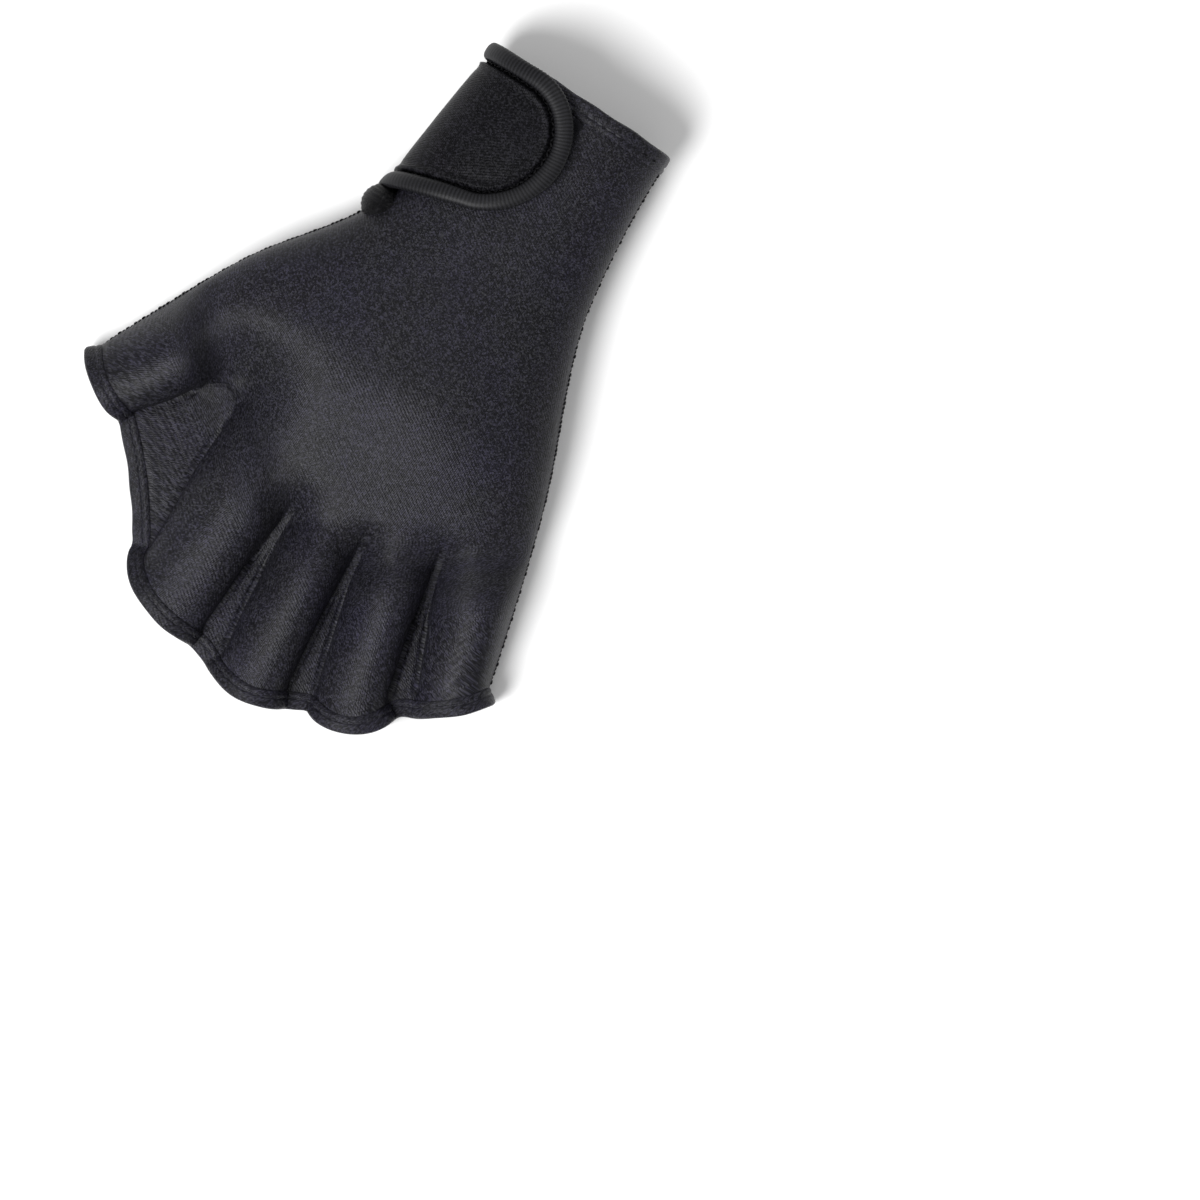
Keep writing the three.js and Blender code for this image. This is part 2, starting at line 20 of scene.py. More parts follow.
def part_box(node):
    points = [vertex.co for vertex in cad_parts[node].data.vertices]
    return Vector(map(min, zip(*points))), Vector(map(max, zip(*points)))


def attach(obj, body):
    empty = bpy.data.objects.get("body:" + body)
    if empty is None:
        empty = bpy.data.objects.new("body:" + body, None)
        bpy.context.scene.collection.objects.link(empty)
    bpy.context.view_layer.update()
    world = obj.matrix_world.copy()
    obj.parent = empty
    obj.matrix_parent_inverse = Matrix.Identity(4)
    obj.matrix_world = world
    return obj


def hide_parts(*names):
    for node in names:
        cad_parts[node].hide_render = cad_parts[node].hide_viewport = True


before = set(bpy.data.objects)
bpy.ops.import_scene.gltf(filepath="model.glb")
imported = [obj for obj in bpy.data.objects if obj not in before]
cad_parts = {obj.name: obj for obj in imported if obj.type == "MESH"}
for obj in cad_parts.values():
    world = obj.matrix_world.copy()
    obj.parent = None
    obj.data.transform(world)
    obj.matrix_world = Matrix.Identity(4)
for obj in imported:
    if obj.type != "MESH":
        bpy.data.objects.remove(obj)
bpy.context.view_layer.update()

logging.basicConfig(level=logging.INFO, format="%(message)s")
log = logging.getLogger("glove")

MM = 0.001
THUMB_WEB = 1
ROW_ZONES = ((0.0, 0.26, 26), (0.26, 0.58, 50), (0.58, 0.84, 96), (0.84, 1.0, 48))
EDGE_STEPS = 300
SHORTEST = 1e-12
MERGE = 2e-6
WAVE_PITCH = 0.31416

Values = float | np.ndarray
Input = float | bpy.types.NodeSocket
Paint = tuple[float, ...] | bpy.types.NodeSocket


class Side(Enum):
    """The two faces of the glove."""

    BACK = 1
    PALM = -1


class End(Enum):
    """The two ends of a panel, as places in its rows."""

    CUFF = 0.0
    FINGERS = 1.0


@dataclass(frozen=True)
class Line:
    """A line that divides the panels into fingers and webs, as shares of the sizes it follows."""

    cuff: float
    root: tuple[float, float]
    front: tuple[float, float]


@dataclass(frozen=True)
class Strip:
    """A finger or a web between two lines."""

    name: str
    height: float
    bulge: float
    skew: float
    steps: int


LINES = (
    Line(-1.0, (-0.742, 0.482), (-1.0, 0.703)),
    Line(-0.63, (-0.596, 0.66), (-0.766, 0.763)),
    Line(-0.48, (-0.463, 0.67), (-0.451, 0.918)),
    Line(-0.13, (-0.104, 0.777), (-0.122, 0.983)),
    Line(-0.09, (-0.077, 0.777), (-0.019, 0.997)),
    Line(0.2, (0.221, 0.769), (0.295, 0.985)),
    Line(0.24, (0.253, 0.769), (0.399, 0.969)),
    Line(0.54, (0.538, 0.722), (0.681, 0.917)),
    Line(0.58, (0.569, 0.722), (0.765, 0.893)),
    Line(1.0, (0.773, 0.54), (1.0, 0.813)),
)

STRIPS = (
    Strip("thumb", 0.97, 0.012, 1.0, 24),
    Strip("thumb web", 0.0, -0.008, 1.0, 26),
    Strip("index", 1.02, 0.027, 0.7, 26),
    Strip("index web", 0.0, -0.002, 1.0, 12),
    Strip("middle", 1.03, 0.017, 1.0, 26),
    Strip("middle web", 0.0, 0.0, 1.0, 12),
    Strip("ring", 1.0, 0.026, 1.0, 26),
    Strip("ring web", 0.0, -0.004, 1.0, 12),
    Strip("little", 0.93, 0.008, 1.0, 26),
)


def clamp(s: Values) -> Values:
    """Keeps shares between 0 and 1."""
    return np.clip(s, 0.0, 1.0)


def smooth(s: Values) -> Values:
    """An even start and finish between 0 and 1."""
    s = clamp(s)
    return s * s * (3 - 2 * s)


def mix(a: Values, b: Values, s: Values) -> Values:
    """The value at share s of the way from a to b."""
    return a + (b - a) * s


def arch(s: np.ndarray, power: float) -> np.ndarray:
    """A padded arch, 1 in its middle and 0 at s = -1 and 1. It is flatter with a higher power."""
    return np.maximum(0.0, 1 - np.abs(s) ** power) ** 0.5


def unit(v: np.ndarray) -> np.ndarray:
    """Vectors brought to length 1 along the last axis."""
    return v / np.maximum(np.linalg.norm(v, axis=-1, keepdims=True), SHORTEST)


def distances(path: np.ndarray) -> np.ndarray:
    """The distance along a path at each of its places."""
    return np.concatenate([[0.0], np.cumsum(np.linalg.norm(np.diff(path, axis=0), axis=1))])


def along_path(at: np.ndarray, run: np.ndarray, table: np.ndarray) -> np.ndarray:
    """Rows of a table read off at other distances along its path."""
    return np.stack([np.interp(at, run, column) for column in table.T], -1)


def hermite(
    a: np.ndarray, da: np.ndarray, b: np.ndarray, db: np.ndarray, span: float, s: np.ndarray
) -> np.ndarray:
    """A cubic from a to b with slopes da and db over a span, at shares s of it.

    Args:
        a: First place.
        da: Slope at the first place.
        b: Last place.
        db: Slope at the last place.
        span: Length of the span that the slopes are for.
        s: Shares of the span, one for each place wanted.

    Returns:
        One place for each share.
    """
    s = s[:, None]
    return (
        a * (2 * s**3 - 3 * s**2 + 1)
        + da * span * (s**3 - 2 * s**2 + s)
        + b * (3 * s**2 - 2 * s**3)
        + db * span * (s**3 - s**2)
    )


def height_at(table: Sequence[tuple[float, float]], row: np.ndarray) -> np.ndarray:
    """Heights from a table of (row, height), smooth from row to row.

    Args:
        table: Rows and heights, from the cuff to the fingers.
        row: The rows wanted.

    Returns:
        One height for each row.
    """
    rows, heights = np.array(table, float).T
    k = np.clip(np.searchsorted(rows, row), 1, len(rows) - 1)
    return mix(heights[k - 1], heights[k], smooth((row - rows[k - 1]) / (rows[k] - rows[k - 1])))


@dataclass
class HandForm:
    """The form that the glove has on the table, which all of its pieces follow.

    The crown and the seam are heights over the table by rows, from 0 at the cuff to 1 at the finger
    ends. A dimple is its place across and along the hand, its width, and how far it pulls the back
    down towards the webs. The knuckles' line is a curve through its places across and along.
    """

    length: float = 194.0
    thumb_reach: float = 78.2
    little_reach: float = 67.4
    wrist_width: float = 55.2
    cuff_end_width: float = 64.6
    cuff_length: float = 50.0
    finger_height: float = 21.5
    wall: float = 2.2
    sew_gap: float = 0.3
    finger_hem: float = 4.6
    cuff_hem: float = 5.0
    cuff_share: float = 0.26
    thumb_crease: float = 0.1
    finger_crease: float = 0.15
    root_round: float = 0.02
    front_pull: float = 1.5
    knuckle_dip: float = 2.0
    knuckle_width: float = 8.0
    knuckle_fade: int = 4
    knuckle_x: tuple[float, ...] = (-62.0, -42.0, -8.0, 15.0, 37.0, 56.0)
    knuckle_y: tuple[float, ...] = (100.0, 118.0, 142.0, 141.0, 132.0, 118.0)
    dimples: tuple[tuple[float, float, float, float], ...] = (
        (-41.0, 123.0, 13.5, 0.95),
        (-7.0, 146.0, 8.0, 0.6),
        (16.0, 145.0, 8.0, 0.6),
        (37.0, 136.0, 8.0, 0.6),
    )
    knuckle_rise: float = 1.24
    tip_fall: float = 0.9
    fall_turn: float = 1.5
    rib_lean: float = 0.7
    crown_arch: float = 2.3
    palm_arch: float = 4.0
    palm_press: float = 1.12
    rib_arch: float = 2.2
    under_arch: float = 2.4
    under_press: float = 1.14
    crown: tuple[tuple[float, float], ...] = (
        (0.0, 30.0),
        (0.26, 30.0),
        (0.5, 34.0),
        (0.72, 26.0),
        (1.0, 21.5),
    )
    seam: tuple[tuple[float, float], ...] = ((0.0, 13.0), (0.35, 13.0), (0.8, 8.0), (1.0, 8.0))
    start: float = field(init=False)
    end: float = field(init=False)
    shares: np.ndarray = field(init=False)
    creases: np.ndarray = field(init=False)
    shift: np.ndarray = field(init=False)

    def __post_init__(self) -> None:
        """Works out the panels' ends, the creases and the place of the hand's middle line."""
        self.start = self.cuff_hem + self.sew_gap
        self.end = self.length - self.finger_hem - self.sew_gap
        own = []
        for line in LINES:
            _, cuff, root, front = self.places(line)
            below = np.linalg.norm(root - cuff)
            beyond = np.linalg.norm(front - root)
            own.append(below / (below + beyond))
        last = len(LINES) - 1
        self.shares = np.array(
            [
                own[i] if i in (0, last) else (own[i] + own[i + 1 if i % 2 else i - 1]) / 2
                for i in range(len(LINES))
            ]
        )
        rows = mix(self.cuff_share, 1.0, self.shares)
        self.creases = np.array([rows[min(max(i, 1), last - 1)] for i in range(len(LINES))])
        low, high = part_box("cuff_hem")
        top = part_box("back_panel")[1]
        self.shift = np.array([(low.x + high.x) / 2 / MM, top.y / MM + self.start, 0.0])

    def reach(self, share: float) -> float:
        """A place across the hand, from the middle line."""
        return share * (self.thumb_reach if share < 0 else self.little_reach)

    def cuff_half(self, y: Values) -> Values:
        """Half the width of the lying cuff at a distance from its edge."""
        return mix(self.wrist_width, self.cuff_end_width, (y / self.cuff_length) ** 2) / 2

    def places(self, line: Line) -> tuple[np.ndarray, ...]:
        """The places that a line runs through.

        Args:
            line: The line.

        Returns:
            Its start, its place at the end of the cuff, its root and its front.
        """
        return (
            np.array([line.cuff * self.cuff_half(self.start), self.start]),
            np.array([line.cuff * self.cuff_half(self.cuff_length), self.cuff_length]),
            np.array([self.reach(line.root[0]), line.root[1] * self.end]),
            np.array([self.reach(line.front[0]), line.front[1] * self.end]),
        )

    def line_points(self, rows: np.ndarray) -> np.ndarray:
        """All the dividing lines at some rows.

        Args:
            rows: Shares of the way from the cuff to the finger ends.

        Returns:
            Places across and along the hand, lines by rows by 2.
        """
        found = np.empty((len(LINES), len(rows), 2))
        s = clamp((rows - self.cuff_share) / (1 - self.cuff_share))
        for i, line in enumerate(LINES):
            start, cuff, root, front = self.places(line)
            share = self.shares[i]
            at_cuff = (root - start) / (share + self.cuff_share / (1 - self.cuff_share))
            at_root = front - cuff
            at_front = (front - root) * self.front_pull / (1 - share) - (self.front_pull - 1) * at_root
            lower = hermite(cuff, at_cuff, root, at_root, share, s / share)
            upper = hermite(root, at_root, front, at_front, 1 - share, (s - share) / (1 - share))
            y = mix(self.start, self.cuff_length, rows / self.cuff_share)
            straight = np.stack([line.cuff * self.cuff_half(y), y], -1)
            curve = np.where((s < share)[:, None], lower, upper)
            found[i] = np.where((rows <= self.cuff_share)[:, None], straight, curve)
        return found

    def heads(self, strips: np.ndarray, shares: np.ndarray) -> np.ndarray:
        """The rows where each column leaves the hand, which run round the thumb web's head."""
        crease = mix(self.creases[strips], self.creases[strips + 1], smooth(shares))
        return crease - np.where(strips == THUMB_WEB, self.root_round * 4 * shares * (1 - shares), 0.0)

    def over_cuff(self, seam: Values, row: Values, across: np.ndarray) -> np.ndarray:
        """Heights of the back over a seam, as a share across runs from edge to edge."""
        return mix(seam, height_at(self.crown, row), arch(across, self.crown_arch))

    def under_hand(self, seam: Values, across: np.ndarray) -> np.ndarray:
        """Heights of the palm under a seam, pressed flat on the table in the middle."""
        return np.maximum(0.0, seam * (1 - self.palm_press * arch(across, self.palm_arch)))

    def hand_height(self, plan: np.ndarray, side: Side) -> np.ndarray:
        """Heights of the part over the palm, as if no fingers left it.

        Args:
            plan: Places across and along the hand.
            side: Back or palm.

        Returns:
            One height for each place.
        """
        x, y = plan[..., 0], plan[..., 1]
        cuff = self.cuff_share * (y - self.start) / (self.cuff_length - self.start)
        hand = mix(self.cuff_share, 1.0, (y - self.cuff_length) / (self.end - self.cuff_length))
        row = clamp(np.where(y < self.cuff_length, cuff, hand))
        whole = self.line_points(np.linspace(0.0, 1.0, EDGE_STEPS))
        thumb_edge = np.interp(y, whole[0, :, 1], whole[0, :, 0])
        little_edge = np.interp(y, whole[-1, :, 1], whole[-1, :, 0])
        across = clamp(x / np.where(x < 0, thumb_edge, little_edge))
        seam = height_at(self.seam, row) + side.value * self.sew_gap / 2
        if side is Side.PALM:
            return self.under_hand(seam, across)
        knuckle = np.polyval(np.polyfit(self.knuckle_x, self.knuckle_y, 3), x)
        dip = self.knuckle_dip * np.exp(-(((y - knuckle) / self.knuckle_width) ** 2))
        over = self.over_cuff(seam, row, across) - dip * (1 - across**self.knuckle_fade)
        free = np.ones_like(x)
        for at_x, at_y, width, pull in self.dimples:
            free *= 1 - pull * np.exp(-(((x - at_x) / width) ** 2) - ((y - at_y) / width) ** 2)
        return mix(seam + self.wall, over, free)

    def face(
        self, strips: np.ndarray, shares: np.ndarray, rows: np.ndarray, side: Side
    ) -> np.ndarray:
        """Places on the outer face of one side of the glove.

        Args:
            strips: The strip of each column.
            shares: The share of its strip at which each column runs.
            rows: Shares of the way from the cuff to the finger ends.
            side: Back or palm.

        Returns:
            Places in millimetres of the frame, rows by columns by 3.
        """
        lines = self.line_points(rows)
        a = lines[strips].transpose(1, 0, 2)
        b = lines[strips + 1].transpose(1, 0, 2)
        row = rows[:, None]
        height, bulge, skew = (
            np.array([getattr(strip, name) for strip in STRIPS])[strips]
            for name in ("height", "bulge", "skew")
        )
        web = height == 0
        crease = mix(self.creases[strips], self.creases[strips + 1], shares)
        beyond = clamp((row - crease) / (1 - crease))
        plan = mix(a, b, shares[None, :, None])
        skewed = shares**skew
        outward = unit(np.stack([a[..., 1] - b[..., 1], b[..., 0] - a[..., 0]], -1))
        plan = plan + outward * (bulge * self.end * 4 * skewed * (1 - skewed) * beyond**2)[..., None]

        seam = height_at(self.seam, row) + side.value * self.sew_gap / 2
        base_web = seam + side.value * self.wall
        left = np.where(strips == 0, seam, base_web)
        right = np.where(strips == len(STRIPS) - 1, seam, base_web)
        base = mix(left, right, shares)
        hand = self.hand_height(plan, side)
        if side is Side.BACK:
            lean = 2 * shares ** (1 / self.rib_lean) - 1
            slope = mix(self.knuckle_rise, self.tip_fall, beyond**self.fall_turn)
            finger = mix(base, height * self.finger_height * slope, arch(lean, self.rib_arch))
        else:
            press = self.under_press * arch(2 * shares - 1, self.under_arch)
            finger = np.maximum(0.0, base * (1 - press))
        finger = np.where(web, base_web, finger)
        softness = mix(self.thumb_crease, self.finger_crease, smooth((strips + shares - 1.5) / 1.5))
        z = mix(hand, finger, smooth((row - self.heads(strips, shares)) / softness + 0.5))
        return np.stack([plan[..., 0], -plan[..., 1], z], -1) + self.shift


def columns() -> tuple[np.ndarray, np.ndarray]:
    """The columns of a panel, even in the webs and closer at the edges of the fingers.

    Returns:
        Each column's strip, and its share of that strip.
    """
    strips, shares = [], []
    for k, strip in enumerate(STRIPS):
        steps = np.arange(0 if k == 0 else 1, strip.steps + 1) / strip.steps
        if strip.height > 0:
            steps = (2 * steps + 1 - np.cos(math.pi * steps)) / 4
        strips += [k] * len(steps)
        shares += list(steps)
    return np.array(strips), np.array(shares)


def rows() -> np.ndarray:
    """The rows of a panel, closest where the webs start."""
    return np.concatenate([np.linspace(*zone, endpoint=False) for zone in ROW_ZONES] + [[1.0]])


def normals_of(points: np.ndarray, side: Side) -> np.ndarray:
    """The outward normals of a face.

    Args:
        points: Its places, rows by columns by 3.
        side: Back or palm.

    Returns:
        One normal for each place.
    """
    across, along = np.gradient(points, axis=1), np.gradient(points, axis=0)
    normal = unit(np.cross(across, along))
    return np.where(normal[..., 2:] * side.value < 0, -normal, normal)


def deselect() -> None:
    """Leaves nothing selected."""
    if bpy.context.object and bpy.context.object.mode != "OBJECT":
        bpy.ops.object.mode_set(mode="OBJECT")
    bpy.ops.object.select_all(action="DESELECT")


def pick(piece: bpy.types.Object) -> None:
    """Selects one piece alone and makes it the active one.

    Args:
        piece: The piece.
    """
    deselect()
    piece.select_set(True)
    bpy.context.view_layer.objects.active = piece


def finish_with(piece: bpy.types.Object, kind: str, **settings: float | int | bool | str) -> None:
    """Puts a modifier on a piece and applies it.

    Args:
        piece: The piece.
        kind: Blender's name for the modifier.
        **settings: The modifier's own values.
    """
    pick(piece)
    modifier = piece.modifiers.new(kind.title(), kind)
    for name, value in settings.items():
        setattr(modifier, name, value)
    bpy.ops.object.modifier_apply(modifier=modifier.name)


def lengths_along(points: np.ndarray) -> np.ndarray:
    """Where each place lies on the cloth laid flat, measured along rows and columns.

    Args:
        points: Places, rows by columns by 3.

    Returns:
        Places on the flat cloth, rows by columns by 2.
    """
    across = np.linalg.norm(np.diff(points, axis=1), axis=-1)
    along = np.linalg.norm(np.diff(points, axis=0), axis=-1)
    u = np.concatenate([np.zeros((len(points), 1)), np.cumsum(across, axis=1)], axis=1)
    v = np.concatenate([np.zeros((1, points.shape[1])), np.cumsum(along, axis=0)], axis=0)
    return np.stack([u, v], -1)


def laid_grid(name: str, points: np.ndarray, flat: np.ndarray | None = None) -> bpy.types.Object:
    """Adds a grid and lays its vertices at a table of places, with the cloth's own flat map on it.

    Args:
        name: The piece's name.
        points: Places in millimetres of the frame, rows by columns by 3.
        flat: The same places on the cloth laid flat, rows by columns by 2.

    Returns:
        The piece, an open sheet.
    """
    flat = lengths_along(points) if flat is None else flat
    n_rows, n_columns = points.shape[:2]
    deselect()
    bpy.ops.mesh.primitive_grid_add(x_subdivisions=n_columns - 1, y_subdivisions=n_rows - 1, size=2.0)
    piece = bpy.context.object
    piece.name = piece.data.name = name
    mesh = piece.data
    place = np.empty(len(mesh.vertices) * 3)
    mesh.vertices.foreach_get("co", place)
    place = place.reshape(-1, 3)
    column = np.rint((place[:, 0] + 1) / 2 * (n_columns - 1)).astype(int)
    row = np.rint((place[:, 1] + 1) / 2 * (n_rows - 1)).astype(int)
    mesh.vertices.foreach_set("co", (points[row, column] * MM).ravel())
    corner = np.empty(len(mesh.loops), int)
    mesh.loops.foreach_get("vertex_index", corner)
    mesh.uv_layers.active.data.foreach_set("uv", (flat[row, column][corner] * MM).ravel())
    mesh.update()
    return piece


def close_up(piece: bpy.types.Object) -> None:
    """Joins the edges that meet, fills what stays open, and turns all faces outwards.

    Args:
        piece: The piece.
    """
    pick(piece)
    bpy.ops.object.mode_set(mode="EDIT")
    bpy.ops.mesh.select_mode(type="EDGE")
    bpy.ops.mesh.select_all(action="SELECT")
    bpy.ops.mesh.remove_doubles(threshold=MERGE)
    bpy.ops.mesh.select_all(action="DESELECT")
    bpy.ops.mesh.select_non_manifold()
    bpy.ops.mesh.fill_holes(sides=0)
    bpy.ops.mesh.select_all(action="SELECT")
    bpy.ops.mesh.normals_make_consistent(inside=False)
    bpy.ops.object.mode_set(mode="OBJECT")


def dress(
    piece: bpy.types.Object,
    material: bpy.types.Material,
    nodes: Sequence[str] = (),
    angle: float = 60.0,
) -> bpy.types.Object:
    """Gives a piece its finish, its body and the solids that it stands for.

    Args:
        piece: The piece.
        material: Its finish.
        nodes: The solids that it replaces.
        angle: Edges sharper than this stay sharp, in degrees.

    Returns:
        The piece.
    """
    pick(piece)
    bpy.ops.object.shade_smooth_by_angle(angle=math.radians(angle))
    piece.data.materials.clear()
    piece.data.materials.append(material)
    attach(piece, "root")
    if nodes:
        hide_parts(*nodes)
    log.info("%s: %d faces, %s", piece.name, len(piece.data.polygons), material.name)
    return piece


def one_stitch(length: float, radius: float, flat: float) -> bpy.types.Object:
    """Models one stitch along X, in metres.

    Args:
        length: Length of the stitch, in millimetres.
        radius: Half its thickness, in millimetres.
        flat: Its height as a share of its thickness.

    Returns:
        The stitch.
    """
    deselect()
    bpy.ops.mesh.primitive_uv_sphere_add(segments=8, ring_count=6, radius=MM)
    stitch = bpy.context.object
    bpy.ops.object.mode_set(mode="EDIT")
    bpy.ops.mesh.select_all(action="SELECT")
    bpy.ops.transform.resize(value=(length / 2, radius, radius * flat))
    bpy.ops.object.mode_set(mode="OBJECT")
    return stitch


def sewn_row(
    name: str,
    places: np.ndarray,
    along: np.ndarray,
    up: np.ndarray,
    length: float,
    radius: float,
    flat: float,
) -> bpy.types.Object:
    """Models one stitch, and copies it to every place of a row of stitches.

    Args:
        name: The row's name.
        places: Middles of the stitches, in millimetres of the frame.
        along: The way each stitch runs.
        up: The way each stitch stands off the cloth.
        length: Length of a stitch.
        radius: Half its thickness.
        flat: Its height as a share of its thickness.

    Returns:
        The row as one piece.
    """
    stitch = one_stitch(length, radius, flat)
    x = unit(along)
    z = unit(up - x * np.sum(up * x, axis=-1, keepdims=True))
    y = np.cross(z, x)
    copies = []
    for k, place in enumerate(places):
        turn = Matrix(np.array([x[k], y[k], z[k]]).T.tolist()).to_4x4()
        copy = bpy.data.objects.new(f"{name}_{k}", stitch.data.copy())
        copy.data.transform(Matrix.Translation(Vector(place * MM)) @ turn)
        bpy.context.collection.objects.link(copy)
        copies.append(copy)
    bpy.data.objects.remove(stitch)
    deselect()
    for copy in copies:
        copy.select_set(True)
    bpy.context.view_layer.objects.active = copies[0]
    bpy.ops.object.join()
    row = bpy.context.object
    row.name = row.data.name = name
    place = np.empty(len(row.data.vertices) * 3)
    row.data.vertices.foreach_get("co", place)
    place[2::3] = np.maximum(place[2::3], 0.0)
    row.data.vertices.foreach_set("co", place)
    return row


class Bench:
    """A material's nodes, with short calls that add and join them."""

    def __init__(self, name: str) -> None:
        """Starts an empty material.

        Args:
            name: The material's name.
        """
        self.material = bpy.data.materials.new(name)
        self.material.use_nodes = True
        self.tree = self.material.node_tree
        self.tree.nodes.clear()

    def feed(self, socket: bpy.types.NodeSocket, value: object) -> None:
        """Joins a socket to another one, or sets its value.

        Args:
            socket: The node's own socket.
            value: A value or another node's socket.
        """
        if isinstance(value, bpy.types.NodeSocket):
            self.tree.links.new(value, socket)
        else:
            socket.default_value = value

    def add(
        self, kind: str, inputs: dict[str, object] | None = None, **settings: object
    ) -> bpy.types.Node:
        """Adds a node.

        Args:
            kind: The node's type, without its ShaderNode start.
            inputs: Values or sockets for the node's own sockets, by name.
            **settings: The node's own properties.

        Returns:
            The node.
        """
        node = self.tree.nodes.new("ShaderNode" + kind)
        for name, value in settings.items():
            setattr(node, name, value)
        for name, value in (inputs or {}).items():
            self.feed(node.inputs[name], value)
        return node

    def math(self, operation: str, a: Input, b: Input = 0.0, c: Input = 0.0) -> bpy.types.NodeSocket:
        """A sum, product or the like.

        Args:
            operation: Blender's name for it.
            a: First value or socket.
            b: Second value or socket.
            c: Third value or socket.

        Returns:
            The result's socket.
        """
        node = self.add("Math", operation=operation)
        for socket, value in zip(node.inputs, (a, b, c)):
            self.feed(socket, value)
        return node.outputs[0]

    def blend(self, share: Input, a: Paint, b: Paint) -> bpy.types.NodeSocket:
        """A colour at a share of the way from one to another.

        Args:
            share: The share or its socket.
            a: The colour at share 0.
            b: The colour at share 1.

        Returns:
            The colour's socket.
        """
        node = self.add("Mix", data_type="RGBA")
        self.feed(next(s for s in node.inputs if s.name == "Factor" and s.type != "RGBA"), share)
        for name, color in (("A", a), ("B", b)):
            self.feed(next(s for s in node.inputs if s.name == name and s.type == "RGBA"), color)
        return next(s for s in node.outputs if s.type == "RGBA")

    def scaled(self, place: bpy.types.NodeSocket, turn: float = 0.0) -> bpy.types.NodeSocket:
        """Places in metres brought to millimetres.

        Args:
            place: The places' socket.
            turn: How far the pattern is turned, in degrees.

        Returns:
            The vector's socket.
        """
        turned = (0.0, 0.0, math.radians(turn))
        scale = (1 / MM, 1 / MM, 1 / MM)
        return self.add("Mapping", {"Vector": place, "Rotation": turned, "Scale": scale}).outputs[0]

    def cloth_map(self, turn: float = 0.0) -> bpy.types.NodeSocket:
        """The cloth's flat map in millimetres, turned by so many degrees."""
        return self.scaled(self.add("TexCoord").outputs["UV"], turn)

    def bands(
        self, vector: bpy.types.NodeSocket, pitch: float, distortion: float
    ) -> bpy.types.NodeSocket:
        """Bands across a map, from 0 to 1.

        Args:
            vector: The map.
            pitch: Millimetres from band to band.
            distortion: How far the bands waver.

        Returns:
            The bands' socket.
        """
        scale = WAVE_PITCH / pitch
        inputs = {"Vector": vector, "Scale": scale, "Distortion": distortion, "Detail": 1.0}
        return self.add("TexWave", inputs, bands_direction="X").outputs["Fac"]

    def noise(
        self, vector: bpy.types.NodeSocket, size: float, detail: float = 2.0
    ) -> bpy.types.NodeSocket:
        """Soft noise from 0 to 1.

        Args:
            vector: The map.
            size: About the size of its lumps, in millimetres.
            detail: How many finer layers it has.

        Returns:
            The noise's socket.
        """
        inputs = {"Vector": vector, "Scale": 1 / size, "Detail": detail}
        return self.add("TexNoise", inputs).outputs["Fac"]

    def cloth(
        self,
        color: Paint,
        roughness: Input,
        height: bpy.types.NodeSocket,
        relief: float,
        sheen: float,
        specular: float,
    ) -> bpy.types.Material:
        """Ends the material as a cloth.

        Args:
            color: Colour or its socket.
            roughness: Roughness or its socket.
            height: Socket that gives the threads' height, from 0 to 1.
            relief: Full height of the threads in millimetres.
            sheen: Strength of the fibres' sheen.
            specular: Strength of the surface's reflection.

        Returns:
            The material.
        """
        bump = self.add("Bump", {"Height": height, "Distance": relief * MM, "Strength": 1.0})
        shader = self.add(
            "BsdfPrincipled",
            {
                "Base Color": color,
                "Roughness": roughness,
                "Specular IOR Level": specular,
                "Sheen Weight": sheen,
                "Sheen Roughness": 0.45,
                "Sheen Tint": (0.62, 0.62, 0.78, 1.0),
                "Normal": bump.outputs[0],
            },
        )
        self.add("OutputMaterial", {"Surface": shader.outputs[0]})
        return self.material


@dataclass(frozen=True)
class JerseyFinish:
    """Fine knitted jersey over foam, with diagonal wales and paler and bluer specks."""

    name: str = "charcoal_jersey"
    dark: tuple[float, ...] = (0.0008, 0.0008, 0.001, 1.0)
    light: tuple[float, ...] = (0.03, 0.03, 0.034, 1.0)
    violet: tuple[float, ...] = (0.029, 0.027, 0.046, 1.0)
    wale: float = 0.82
    turn: float = -57.0
    course: float = 0.5084
    course_turn: float = 62.0
    speck_scale: float = 2.6
    speck_power: float = 2.4
    patch: float = 24.0
    relief: float = 0.13
    specular: float = 0.12
    roughness: float = 0.42

    def material(self) -> bpy.types.Material:
        """Makes the jersey's material.

        Returns:
            The material.
        """
        bench = Bench(self.name)
        flat = bench.cloth_map()
        wales = bench.bands(bench.cloth_map(self.turn), self.wale, 1.2)
        courses = bench.bands(bench.cloth_map(self.turn + self.course_turn), self.course, 1.2)
        specks = bench.add("TexVoronoi", {"Vector": flat, "Scale": self.speck_scale}).outputs["Color"]
        channels = bench.add("SeparateColor", {"Color": specks}).outputs
        speck = bench.math("POWER", channels[0], self.speck_power)
        fuzz = bench.noise(flat, 0.5, 3.0)
        patches = bench.noise(flat, self.patch, 3.0)
        knit = bench.math("MULTIPLY_ADD", wales, 0.55, bench.math("MULTIPLY", courses, 0.45))
        height = bench.math("MULTIPLY_ADD", knit, 0.62, bench.math("MULTIPLY", fuzz, 0.5))
        shade = bench.math("MULTIPLY_ADD", knit, 0.2, bench.math("MULTIPLY", patches, 0.2))
        tone = bench.math("MULTIPLY_ADD", speck, 1.05, bench.math("MULTIPLY", shade, 0.7))
        broad = bench.math("MULTIPLY_ADD", patches, 1.6, -0.75)
        tint = bench.math("MULTIPLY_ADD", channels[1], 0.7, broad)
        color = bench.blend(tone, self.dark, bench.blend(tint, self.light, self.violet))
        roughness = bench.math("MULTIPLY_ADD", fuzz, 0.16, self.roughness - 0.08)
        return bench.cloth(color, roughness, height, self.relief, 0.0, self.specular)


